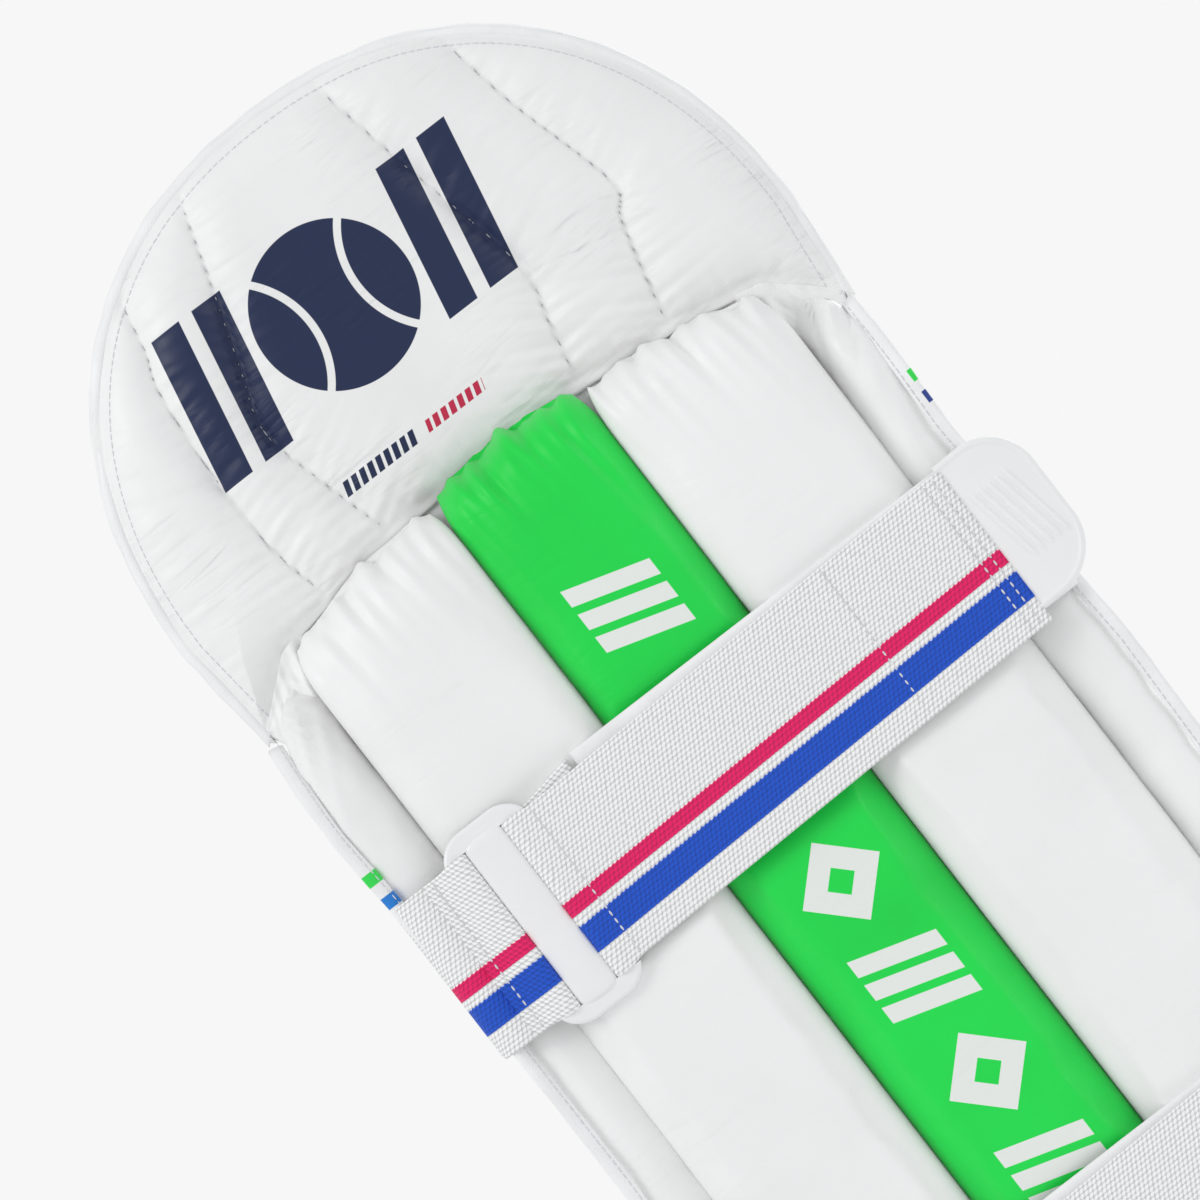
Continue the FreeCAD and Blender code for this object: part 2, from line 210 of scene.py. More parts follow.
# %% A seeded ripple
def ripple(where, wavelength, seed):
    """A smooth wandering value, about -1 to 1, along a length in millimetres."""
    draw = np.random.RandomState(seed)
    total = np.zeros_like(where, dtype=float)
    for stretch in (0.62, 1.0, 1.37, 2.1):
        total += np.sin(2 * math.pi * where / (wavelength * stretch) + draw.uniform(0, 2 * math.pi))
    return total / 2.4


def near(distance, reach):
    """1 at a seam, fading to 0 a reach away."""
    return np.exp(-np.clip(distance, 0, None) / reach)

# %% [markdown]
# ## Filling a cover with foam
# A cushion gets its shape from the foam that pushes on its cover. Blender's Cloth does that: with
# pressure inside and gravity off, the cover swells until the fabric is tight. No point may move
# further than a cap, so the cushion keeps to its place.

# %% Inflate a cover
def inflate(piece, cap, pressure=4.0, frames=20, stiffness=15.0, rings=None):
    """Swell a cover. With its loft rings given, each ring keeps the width that it had."""
    start = points_of(piece)
    cloth = piece.modifiers.new("filling", "CLOTH")
    rules = cloth.settings
    rules.use_pressure = True
    rules.uniform_pressure_force = pressure
    rules.tension_stiffness = stiffness
    rules.compression_stiffness = stiffness
    rules.quality = 6
    rules.effector_weights.gravity = 0
    cloth.collision_settings.use_collision = False
    cloth.point_cache.frame_end = frames
    for number in range(1, frames + 1):
        bpy.context.scene.frame_set(number)
    with_modifiers(piece)
    bpy.context.scene.frame_set(1)
    moved = points_of(piece) - start
    length = np.linalg.norm(moved, axis=1, keepdims=True)
    moved *= np.minimum(1, cap / np.maximum(length, 1e-9))
    swelled = start + moved
    if rings is not None:
        count, around = rings
        for part in np.split(np.arange(count * around), count):
            old, new = start[part, 0], swelled[part, 0]
            stretch = (old.max() - old.min()) / max(new.max() - new.min(), 1e-6)
            old_middle, new_middle = (old.max() + old.min()) / 2, (new.max() + new.min()) / 2
            swelled[part, 0] = old_middle + (new - new_middle) * max(stretch, 1)
    move_points(piece, swelled)
    print(piece.name, "swelled by up to", round(float(min(cap, length.max())), 1), "mm")
    return piece

# %% [markdown]
# ## Materials
# Each finish is a small tree of shader nodes. `add` puts one node in the tree with its settings and
# links, and `shade` starts a finish from a colour, a roughness and an IOR. Colours are written as
# sRGB hex, as a maker would pick them from a swatch, and one function turns them linear.

# %% Colours
def colour(hex_code):
    parts = [int(hex_code[i:i + 2], 16) / 255 for i in (0, 2, 4)]
    return tuple(c / 12.92 if c <= 0.04045 else ((c + 0.055) / 1.055) ** 2.4 for c in parts) + (1.0,)

# %% [markdown]
# ## Adding nodes
# One small function adds any node with its settings and links, so a tree reads like a recipe.

# %% Add a node and start a finish
def add(tree, kind, inputs=None, **settings):
    """Add a node. An input's value is either a plain value or the output socket that feeds it."""
    node = tree.nodes.new(kind)
    for key, value in settings.items():
        setattr(node, key, value)
    for key, value in (inputs or {}).items():
        if isinstance(value, bpy.types.NodeSocket):
            tree.links.new(value, node.inputs[key])
        else:
            node.inputs[key].default_value = value
    return node


def shade(name, roughness, ior=1.5, **numbers):
    finish = bpy.data.materials.new(name)
    finish.use_nodes = True
    skin = finish.node_tree.nodes["Principled BSDF"]
    skin.inputs["Roughness"].default_value = roughness
    skin.inputs["IOR"].default_value = ior
    for key, value in numbers.items():
        skin.inputs[key.replace("_", " ")].default_value = value
    return finish, finish.node_tree, skin

# %% [markdown]
# ## Sums, mixes and bumps
# Patterns are sums on the place of a point: a mask is 0 or 1, a mix lays one colour over another and
# a bump tilts the light without moving the mesh.

# %% Sums, mixes and bumps
def math_node(tree, operation, *values):
    node = add(tree, "ShaderNodeMath", dict(enumerate(values)), operation=operation)
    return node.outputs[0]


def mix_colour(tree, factor, first, second):
    node = add(tree, "ShaderNodeMix", data_type="RGBA")
    for slot_number, value in ((0, factor), (6, first), (7, second)):
        if isinstance(value, bpy.types.NodeSocket):
            tree.links.new(value, node.inputs[slot_number])
        else:
            node.inputs[slot_number].default_value = value
    return node.outputs[2]


def bump(tree, skin, height, distance, strength=1.0):
    """Feed a height, 0 to 1, into the skin's normal. The distance is in millimetres."""
    node = add(tree, "ShaderNodeBump", {"Height": height, "Distance": distance * MM, "Strength": strength})
    previous = skin.inputs["Normal"].links
    if previous:
        tree.links.new(previous[0].from_socket, node.inputs["Normal"])
    tree.links.new(node.outputs["Normal"], skin.inputs["Normal"])

# %% [markdown]
# ## Where a point is
# Patterns read Object coordinates, in metres, so they are the same size on every piece.

# %% Place, noise and ramp
def place(tree):
    """The point on the object in metres, and its three parts."""
    spot = add(tree, "ShaderNodeTexCoord").outputs["Object"]
    parts = add(tree, "ShaderNodeSeparateXYZ", {"Vector": spot})
    return spot, parts.outputs["X"], parts.outputs["Y"], parts.outputs["Z"]


def noise(tree, spot, size_mm, detail=3.0, roughness=0.5):
    """Noise whose lumps are about size_mm across."""
    node = add(tree, "ShaderNodeTexNoise",
               {"Vector": spot, "Scale": 1 / (size_mm * MM), "Detail": detail, "Roughness": roughness})
    return node.outputs["Fac"]


def ramp(tree, value, low, high, low_to=0.0, high_to=1.0):
    node = add(tree, "ShaderNodeMapRange",
               {"Value": value, "From Min": low, "From Max": high, "To Min": low_to, "To Max": high_to})
    return node.outputs["Result"]

# %% [markdown]
# ## Coated fabric
# The pad's skin is polyurethane-coated fabric, a thin soft leather substitute. It is cast against
# grained paper, so it has a fine pebble, under a millimetre across, and a satin face. Handling
# leaves long faint variations in tone, and creases look slightly darker.

# %% Coated fabric finish
def coated_fabric(name, base, shadow, print_on=None, bounce=None, creases=0.0):
    """bounce is the paler colour of the light that the fabric throws on its neighbours, and creases
    is the depth in millimetres of the fine folds that run across the piece."""
    finish, tree, skin = shade(name, 0.46, ior=1.46, Sheen_Weight=0.08, Sheen_Roughness=0.5)
    spot, x, y, z = place(tree)
    tone = noise(tree, spot, 60, detail=4)
    tint = mix_colour(tree, ramp(tree, tone, 0.35, 0.75), colour(base), colour(shadow))
    if print_on is not None:
        tint = print_on(tree, tint, x, y, z)
    if bounce is not None:
        thrown = add(tree, "ShaderNodeLightPath").outputs["Is Diffuse Ray"]
        tint = mix_colour(tree, thrown, tint, colour(bounce))
    tree.links.new(tint, skin.inputs["Base Color"])
    gloss = ramp(tree, noise(tree, spot, 14, detail=5), 0.3, 0.7, 0.40, 0.54)
    tree.links.new(gloss, skin.inputs["Roughness"])
    pebble = add(tree, "ShaderNodeTexVoronoi", {"Vector": spot, "Scale": 1 / (0.9 * MM)}, feature="SMOOTH_F1")
    bump(tree, skin, noise(tree, spot, 9, detail=5, roughness=0.6), 0.35, 0.35)
    bump(tree, skin, pebble.outputs["Distance"], 0.05, 0.35)
    if creases > 0:
        for across_mm, up_mm, depth, cut in ((60.0, 13.0, creases, 0.50), (34.0, 6.5, 0.4 * creases, 0.54)):
            scale = (1 / (across_mm * MM), 1 / (across_mm * MM), 1 / (up_mm * MM))
            stretched = add(tree, "ShaderNodeMapping", {"Vector": spot, "Scale": scale}).outputs["Vector"]
            wave = add(tree, "ShaderNodeTexNoise", {"Vector": stretched, "Scale": 1.0, "Detail": 2.0,
                                                    "Distortion": 0.4}).outputs["Fac"]
            ridge = math_node(tree, "ABSOLUTE", math_node(tree, "SUBTRACT", wave, cut))
            patch = ramp(tree, noise(tree, spot, 38, detail=2), 0.42, 0.62)
            bump(tree, skin, math_node(tree, "MULTIPLY", ramp(tree, ridge, 0.0, 0.12), patch), depth, 0.7)
    return finish

# %% [markdown]
# ## Printed shapes
# The prints are screen printed, flat and crisp. They are drawn as sums, not as pictures: a leaning box,
# a ring and the distance from a point are enough for all of them.

# %% Masks for printed shapes
def inside_box(tree, across, up, centre, half, lean=0.0):
    """1 inside a leaning box, in millimetres, and 0 outside, with a soft printed edge."""
    rise = math_node(tree, "SUBTRACT", up, centre[1] * MM)
    shift = math_node(tree, "MULTIPLY", rise, lean)
    run = math_node(tree, "SUBTRACT", math_node(tree, "SUBTRACT", across, centre[0] * MM), shift)
    past_side = math_node(tree, "SUBTRACT", math_node(tree, "ABSOLUTE", run), half[0] * MM)
    past_end = math_node(tree, "SUBTRACT", math_node(tree, "ABSOLUTE", rise), half[1] * MM)
    return ramp(tree, math_node(tree, "MAXIMUM", past_side, past_end), 0.1 * MM, -0.1 * MM)


def from_centre(tree, across, up, centre):
    """Distance from a point on the face of the pad, in metres."""
    run = math_node(tree, "SUBTRACT", across, centre[0] * MM)
    rise = math_node(tree, "SUBTRACT", up, centre[1] * MM)
    squares = math_node(tree, "ADD", math_node(tree, "POWER", run, 2), math_node(tree, "POWER", rise, 2))
    return math_node(tree, "SQRT", squares)


def ring_mask(tree, distance, radius, half_width):
    off = math_node(tree, "ABSOLUTE", math_node(tree, "SUBTRACT", distance, radius * MM))
    return ramp(tree, off, (half_width + 0.1) * MM, (half_width - 0.1) * MM)


def either(tree, masks):
    total = masks[0]
    for mask in masks[1:]:
        total = math_node(tree, "MAXIMUM", total, mask)
    return total

# %% [markdown]
# ## The print on the top hat
# The real flap has a large navy mark and a small two-colour line below it. Plain shapes take their
# place and size here: a ball with two seams, leaning bars and two rows of ticks.

# %% The top hat's print
NAVY = "10224A"
CRIMSON = "C42048"


def hat_print(tree, tint, x, y, z):
    """A plain ball with curved seams between leaning bars, and a thin two-colour row of ticks below it."""
    rear = ramp(tree, y, -4 * MM, -3 * MM)
    ball_at = (17.0, 637.0)
    distance = from_centre(tree, x, z, ball_at)
    ball = ramp(tree, distance, 30.6 * MM, 30.4 * MM)
    seams = []
    for side in (-1, 1):
        off_centre = (ball_at[0] + side * 46, ball_at[1])
        seams.append(ring_mask(tree, from_centre(tree, x, z, off_centre), 35.5, 1.4))
    ball = math_node(tree, "MULTIPLY", ball, math_node(tree, "SUBTRACT", 1.0, either(tree, seams)))
    bars = []
    for across in (58.0, 76.0, -24.0, -42.0):
        bars.append(inside_box(tree, x, z, (across, ball_at[1]), (6.2, 29.0), lean=-0.2))
    big = math_node(tree, "MULTIPLY", either(tree, [ball] + bars), rear)
    tint = mix_colour(tree, big, tint, colour(NAVY))
    leaning = math_node(tree, "ADD", x, math_node(tree, "MULTIPLY", z, 0.3))
    ticks = math_node(tree, "SINE", math_node(tree, "MULTIPLY", leaning, 2 * math.pi / (3.6 * MM)))
    ticks = math_node(tree, "MULTIPLY", ramp(tree, ticks, -0.55, -0.35), rear)
    for hex_code, across, half_wide, half_high in ((NAVY, 38.0, 16.0, 2.7), (CRIMSON, 5.0, 12.5, 2.2)):
        row = inside_box(tree, x, z, (across, 583.0), (half_wide, half_high), lean=-0.3)
        tint = mix_colour(tree, math_node(tree, "MULTIPLY", row, ticks), tint, colour(hex_code))
    return tint

# %% [markdown]
# ## The print on the middle cushion
# White marks run down the green cushion. Here they are leaning bars and open lozenges in turn.

# %% The middle cushion's print
def cushion_print(tree, tint, x, y, z):
    """White leaning blocks and lozenges down the middle cushion."""
    marks = []
    for number, up in enumerate((490.0, 368.0, 326.0, 284.0, 242.0, 142.0)):
        if number % 2:
            run = math_node(tree, "ABSOLUTE", x)
            rise = math_node(tree, "ABSOLUTE", math_node(tree, "SUBTRACT", z, up * MM))
            far = math_node(tree, "ADD", run, rise)
            outer = ramp(tree, far, 17.1 * MM, 16.9 * MM)
            hole = ramp(tree, far, 6.1 * MM, 5.9 * MM)
            marks.append(math_node(tree, "SUBTRACT", outer, hole))
        else:
            for step in (-10.0, 0.0, 10.0):
                marks.append(inside_box(tree, z, x, (up + step, 0.0), (3.4, 16.0), lean=0.3))
    return mix_colour(tree, either(tree, marks), tint, colour("EDF1EC"))

# %% [markdown]
# ## Knitted elastic webbing
# The straps are wide knitted elastic: a lattice of small raised loops about 1.7 mm apart, with two
# coloured yarn stripes knitted in. The pattern follows the strap, so it reads the strap's own UV map,
# whose units are metres along and across the webbing.

# %% Webbing finish
LOOP_PITCH = 1.9


def knitted_webbing(name):
    finish, tree, skin = shade(name, 0.72, ior=1.5, Sheen_Weight=0.1, Sheen_Roughness=0.4)
    cloth = add(tree, "ShaderNodeUVMap", uv_map="cloth").outputs["UV"]
    parts = add(tree, "ShaderNodeSeparateXYZ", {"Vector": cloth})
    along, across = parts.outputs["X"], parts.outputs["Y"]
    row = math_node(tree, "DIVIDE", across, LOOP_PITCH * 0.87 * MM)
    column = math_node(tree, "ADD", math_node(tree, "DIVIDE", along, LOOP_PITCH * MM),
                       math_node(tree, "MULTIPLY", row, 0.5))
    lattice = add(tree, "ShaderNodeCombineXYZ", {"X": column, "Y": row}).outputs["Vector"]
    loops = add(tree, "ShaderNodeTexVoronoi", {"Vector": lattice, "Scale": 1.0, "Randomness": 0.10})
    raised = ramp(tree, loops.outputs["Distance"], 0.60, 0.34)
    shift = math_node(tree, "MULTIPLY", math_node(tree, "SUBTRACT", loops.outputs["Distance"], 0.3), 0.9 * MM)
    height = math_node(tree, "ADD", across, shift)
    # Between the raised loops the colour drops to D2D2D1: painted shade in the hollows of the knit.
    tint = mix_colour(tree, raised, colour("D2D2D1"), colour("FFFFFF"))
    for hex_code, hollow_shade_hex, middle, half in (("F40A6A", "CC0858", 37.6, 3.05), ("0C54D2", "0A44AE", 49.9, 5.6)):
        off = math_node(tree, "ABSOLUTE", math_node(tree, "SUBTRACT", height, middle * MM))
        stripe = ramp(tree, off, (half + 0.15) * MM, (half - 0.15) * MM)
        # Each stripe's second, darker colour is painted shade in the hollows between its loops.
        yarn = mix_colour(tree, raised, colour(hollow_shade_hex), colour(hex_code))
        tint = mix_colour(tree, stripe, tint, yarn)
    tree.links.new(tint, skin.inputs["Base Color"])
    bump(tree, skin, raised, 0.30, 0.8)
    fibre = add(tree, "ShaderNodeMapping", {"Vector": cloth, "Scale": (1 / (0.5 * MM), 1 / (0.16 * MM), 1)})
    strands = add(tree, "ShaderNodeTexNoise", {"Vector": fibre.outputs["Vector"], "Scale": 1.0, "Detail": 2})
    bump(tree, skin, strands.outputs["Fac"], 0.06, 0.4)
    return finish

# %% [markdown]
# ## Small finishes
# Binding tape is a soft woven tape, the loop band is brushed nylon, thread is polyester, the ring is
# moulded acetal and the pull tab is moulded rubber. Each differs in gloss and in its surface grain.

# %% Woven tape
def woven_tape(name, base, rib_mm, depth, marks=()):
    """A tape of one colour. Each mark is a short band of another colour, with its middle given."""
    finish, tree, skin = shade(name, 0.66, ior=1.5, Sheen_Weight=0.2, Sheen_Roughness=0.45)
    spot, x, y, z = place(tree)
    ribs = add(tree, "ShaderNodeTexWave", {"Vector": spot, "Scale": 0.314 / (rib_mm * MM), "Distortion": 0.6},
               bands_direction="DIAGONAL")
    tone = ramp(tree, noise(tree, spot, 18, detail=4), 0.3, 0.8)
    tint = mix_colour(tree, tone, colour(base), colour("F0F0F0"))
    for hex_code, middle, height in marks:
        mark = inside_box(tree, x, z, (middle, height), (10.0, 2.4))
        tint = mix_colour(tree, mark, tint, colour(hex_code))
    tree.links.new(tint, skin.inputs["Base Color"])
    bump(tree, skin, ribs.outputs["Fac"], depth, 0.5)
    bump(tree, skin, noise(tree, spot, 1.2, detail=3), 0.15, 0.4)
    return finish

# %% [markdown]
# ## Moulded parts and thread
# The ring is acetal, hard and slightly glossy from a polished mould. The pull tab is soft rubber. Thread
# is twisted polyester, too thin to show a twist, so only its tone varies.

# %% Moulded parts and thread
def moulded(name, base, roughness, grain_mm, **numbers):
    finish, tree, skin = shade(name, roughness, **numbers)
    spot = place(tree)[0]
    tone = noise(tree, spot, 25, detail=3)
    tree.links.new(mix_colour(tree, tone, colour(base), colour("F0F0F0")), skin.inputs["Base Color"])
    gloss = ramp(tree, noise(tree, spot, 5), 0.3, 0.7, roughness - 0.06, roughness + 0.06)
    tree.links.new(gloss, skin.inputs["Roughness"])
    bump(tree, skin, noise(tree, spot, grain_mm, detail=2), 0.03, 0.5)
    return finish


def sewing_thread(name, base):
    finish, tree, skin = shade(name, 0.55, ior=1.53)
    spot = place(tree)[0]
    tone = noise(tree, spot, 2.0)
    tree.links.new(mix_colour(tree, tone, colour(base), colour("C4C7CC")), skin.inputs["Base Color"])
    return finish

# %% [markdown]
# ## The finishes of this pad
# Each finish is made once and shared. Whites differ a little, as cloth, tape and plastic from different
# mills do. The wing tapes carry two small coloured marks at their outer edge.

# %% Make the finishes
white_skin = coated_fabric("white_coated_fabric", "F8F8F7", "F2F2F1", creases=0.2)
hat_skin = coated_fabric("white_coated_fabric_printed", "F6F6F5", "F0F0EF", hat_print, creases=0.8)
green_skin = coated_fabric("green_coated_fabric", "06E44D", "04D846", cushion_print, bounce="C9DDCD",
                           creases=0.2)
webbing = knitted_webbing("knitted_elastic_webbing")
edge_tape = woven_tape("edge_tape", "FAFAFA", 0.8, 0.08)
EDGE_MARKS = {
    "left": [("2FE052", 126.0, 469.0), ("1B7FD8", 126.0, 459.0)],
    "right": [("2FE052", -137.2, 493.0), ("22408F", -136.9, 484.0)],
}
wing_tape = {side: woven_tape(side + "_wing_tape", "FAFAFA", 0.8, 0.08, marks)
             for side, marks in EDGE_MARKS.items()}
loop_cloth = woven_tape("brushed_loop_cloth", "FAFAFA", 0.5, 0.03)
acetal = moulded("ring_acetal", "F8F8F8", 0.34, 0.6, ior=1.48)
tab_rubber = moulded("tab_rubber", "FBFBFA", 0.5, 0.4, ior=1.5)
white_thread = sewing_thread("white_thread", "EDEEF0")
# Grey quilting thread: the stitches are real thread, and their dark grey is painted shade of the seam valleys
# on the top hat.
seam_thread_with_painted_shade = sewing_thread("seam_thread_with_painted_shade", "A2A6AC")
hook_nylon = woven_tape("hook_nylon", "DCDCDA", 0.4, 0.12)
lining_cloth = woven_tape("lining_cloth", "E6E6E4", 0.6, 0.05)
foam_block = moulded("foam_block", "F1EEDD", 0.9, 1.2)
fibre_board = moulded("fibre_board", "B9A98A", 0.75, 1.0)
split_cane = moulded("split_cane", "D8BE86", 0.55, 1.5)
print("finishes made:", len(bpy.data.materials))

# %% [markdown]
# ## Camera and light
# The pad stands as it is worn. The camera looks at its rear from far off with a long lens, level, and
# is rolled so that the pad leans in the picture. Large soft lamps and a bright, even room make the
# white fabric glow, as a product is lit, and one stronger lamp from the side models the quilting.

# %% Camera
PAPER = "F7F7F7"
CAMERA_FAR = 3400.0
FRAME_WIDTH = 421.0          # millimetres across the picture at the pad
LOOK_AT = (6.6, 20.0, 497.5)
ROLL = math.radians(37.7)


def aim(thing, location, target, roll=0.0):
    back = (Vector(location) - Vector(target)).normalized()
    turn = back.to_track_quat("Z", "Y").to_matrix() @ Matrix.Rotation(roll, 3, "Z")
    thing.matrix_world = Matrix.Translation(location) @ turn.to_4x4()


lens = bpy.data.cameras.new("camera")
lens.sensor_width = 36.0
lens.lens = 36.0 * CAMERA_FAR / FRAME_WIDTH
camera = bpy.data.objects.new("camera", lens)
bpy.context.scene.collection.objects.link(camera)
target = Vector(LOOK_AT) * MM
aim(camera, target + Vector((0, CAMERA_FAR * MM, 0)), target, -ROLL)
bpy.context.scene.camera = camera
print("lens in mm:", round(lens.lens))

# %% [markdown]
# ## Lamps
# Three large soft lamps: a key lamp that rakes the quilting, a weaker one from the other side, and one
# for the front of the pad. Each aims at the same spot as the camera.

# %% Lamps
def lamp(name, location, size, power):
    light = bpy.data.lights.new(name, "AREA")
    light.shape = "SQUARE"
    light.size = size
    light.energy = power
    holder = bpy.data.objects.new(name, light)
    bpy.context.scene.collection.objects.link(holder)
    aim(holder, location, target)


lamp("key_lamp", (1.5, 1.1, 1.7), 0.8, 12)
lamp("side_lamp", (-1.7, 0.9, 0.7), 0.8, 4)
lamp("front_lamp", (-1.5, -1.4, 1.3), 0.7, 13)
print("lamps lit:", len(bpy.data.lights))

ROOM_GLOW = 0.76

# %% [markdown]
# ## The room
# A bright, even room fills the shadows on white cloth. Only the camera sees the paper colour.

# %% The room's light
room = bpy.data.worlds.new("room")
bpy.context.scene.world = room
room.use_nodes = True
sky = room.node_tree
backdrop = sky.nodes["Background"]
backdrop.inputs["Color"].default_value = colour(PAPER)
backdrop.inputs["Strength"].default_value = 1.0
glow = add(sky, "ShaderNodeBackground", {"Color": colour("F6F7F9"), "Strength": ROOM_GLOW})
seen = add(sky, "ShaderNodeLightPath").outputs["Is Camera Ray"]
both = add(sky, "ShaderNodeMixShader", {0: seen, 1: glow.outputs[0], 2: backdrop.outputs[0]})
sky.links.new(both.outputs[0], sky.nodes["World Output"].inputs["Surface"])
bpy.context.scene.view_settings.view_transform = "Standard"
print("strength of the room's light:", ROOM_GLOW)

# %% [markdown]
# ## The floor
# A paper floor catches a soft shadow under the pad and fades out, so it has no edge in the picture.

# %% The floor
floor_turn = np.linspace(0, 2 * math.pi, 64, endpoint=False)
floor_r = 1400.0
floor = make_piece("floor", np.stack([floor_r * np.cos(floor_turn), floor_r * np.sin(floor_turn),
                                      np.full(64, -0.5)], axis=1), [tuple(range(64))])
paper, paper_tree, paper_skin = shade("floor_paper", 0.8)
paper_skin.inputs["Base Color"].default_value = colour("FAFAFA")
floor_x, floor_y = place(paper_tree)[1:3]
from_pad = from_centre(paper_tree, floor_x, floor_y, (0.0, 0.0))
fade = ramp(paper_tree, from_pad, 0.25, 1.1)
clear = add(paper_tree, "ShaderNodeBsdfTransparent")
faded = add(paper_tree, "ShaderNodeMixShader", {0: fade, 1: paper_skin.outputs[0], 2: clear.outputs[0]})
paper_tree.links.new(faded.outputs[0], paper_tree.nodes["Material Output"].inputs["Surface"])
floor.data.materials.append(paper)
print("floor radius in mm:", floor_r)

# %% [markdown]
# ## Shared outlines
# Each piece that was sewn flat has an outline with a rule behind it. The top hat is a full arch above
# straight sides, and its lower edge is a flatter arch that sits over the cushions.

# %% Sizes taken from the frame
hat_low, hat_high = box_mm("top_hat_binding")
HAT_HALF = (hat_high[0] - hat_low[0]) / 2
HAT_TOP = hat_high[2]
HAT_ARCH = 140.0
HAT_SHOULDER = HAT_TOP - HAT_ARCH
HAT_FULLNESS = 2.2
HAT_CORNER = (131.0, 527.0)
HAT_NOTCH = (106.0, 549.0)
HAT_CROWN = 560.0
ARC_Y = 258.0                # the centre of the shin's curve, seen from above
STRAP_LEVELS = {}
for level in ("upper", "lower"):
    strap_low, strap_high = box_mm(level + "_strap_webbing")
    STRAP_LEVELS[level] = (strap_low[2] + strap_high[2]) / 2
WEB_WIDE = strap_high[2] - strap_low[2]
print("strap levels in mm:", STRAP_LEVELS)

# %% [markdown]
# ## The top hat's edges
# The upper edge is a superellipse, fuller than a circle. The lower edge is worked out for any place
# across the pad, because cushions, wings and gathers all meet it.

# %% Edges of the top hat
def hat_top_edge(x):
    part = np.clip(np.abs(x) / HAT_HALF, 0, 1)
    return HAT_SHOULDER + HAT_ARCH * (1 - part ** HAT_FULLNESS) ** (1 / HAT_FULLNESS)


def hat_low_edge(x):
    """Height of the top hat's lower edge: an arch, then straight down to each corner."""
    x = np.abs(x)
    rise = HAT_CROWN - HAT_NOTCH[1]
    radius = (HAT_NOTCH[0] ** 2 + rise ** 2) / (2 * rise)
    arch = HAT_CROWN - radius + np.sqrt(np.maximum(radius ** 2 - x ** 2, 0))
    past_notch = (x - HAT_NOTCH[0]) / (HAT_CORNER[0] - HAT_NOTCH[0])
    slope = HAT_NOTCH[1] + past_notch * (HAT_CORNER[1] - HAT_NOTCH[1])
    past_corner = (x - HAT_CORNER[0]) / (HAT_HALF - HAT_CORNER[0])
    side = HAT_CORNER[1] + past_corner * (HAT_SHOULDER - HAT_CORNER[1])
    return np.where(x < HAT_NOTCH[0], arch, np.where(x < HAT_CORNER[0], slope, side))

# %% [markdown]
# ## Lines through points
# A seam is drawn through a few chosen points. A second helper finds how far any point lies from a line,
# which is what makes cloth dip at a seam.

# %% Smooth lines and distances
def smooth_line(points, count=40):
    """A rounded line through a few chosen points, evenly spaced."""
    points = np.asarray(points, dtype=float)
    ends = np.vstack([2 * points[0] - points[1], points, 2 * points[-1] - points[-2]])
    out = []
    for i in range(len(points) - 1):
        a, b, c, d = ends[i:i + 4]
        t = np.linspace(0, 1, 16, endpoint=False)[:, None]
        out.append(0.5 * (2 * b + (c - a) * t + (2 * a - 5 * b + 4 * c - d) * t ** 2
                          + (3 * b - a - 3 * c + d) * t ** 3))
    line = np.vstack(out + [points[-1:]])
    steps = np.linalg.norm(np.diff(line, axis=0), axis=1)
    along = np.concatenate([[0], np.cumsum(steps)])
    wanted = np.linspace(0, along[-1], count)
    return np.stack([np.interp(wanted, along, line[:, i]) for i in range(line.shape[1])], axis=1)


def to_line(points, line):
    """For each point, its distance to a line and how far along the line that is."""
    best = np.full(len(points), 1e9)
    where = np.zeros(len(points))
    gone = 0.0
    for a, b in zip(line[:-1], line[1:]):
        step = b - a
        length = np.linalg.norm(step)
        part = np.clip(((points - a) @ step) / length ** 2, 0, 1)
        far = np.linalg.norm(points - (a + part[:, None] * step), axis=1)
        closer = far < best
        best = np.where(closer, far, best)
        where = np.where(closer, gone + part * length, where)
        gone += length
    return best, where

# %% [markdown]
# ## The rear cushions
# Three long cushions lie against the leg: two white ones and a green one in the middle. Each is a
# foam-filled sleeve whose top end is gathered into the top hat's seam. It starts as a loft, is
# swelled by simulation, then is pressed to its neighbours and to the straps, and its gathers are drawn in.

# %% Limits and strap marks
def limit(values, low, high, soft=3.0):
    """Hold values between two limits with a rounded approach instead of a hard cut."""
    over = np.maximum(values - (high - soft), 0)
    under = np.maximum((low + soft) - values, 0)
    values = np.where(over > 0, high - soft + soft * (1 - np.exp(-over / soft)), values)
    return np.where(under > 0, low + soft - soft * (1 - np.exp(-under / soft)), values)


def strap_press(z):
    """1 under a strap, 0 well away from it."""
    total = np.zeros_like(z)
    for centre in STRAP_LEVELS.values():
        off = np.abs(z - centre - 3)
        total = np.maximum(total, 1 / (1 + np.exp((off - WEB_WIDE / 2 - 4) / 2.2)))
    return total

# %% [markdown]
# ## One cushion
# The sleeve is lofted from ovals, filled, then drawn up to its top line with gathers, tucked at the
# bottom and pressed in under the straps.

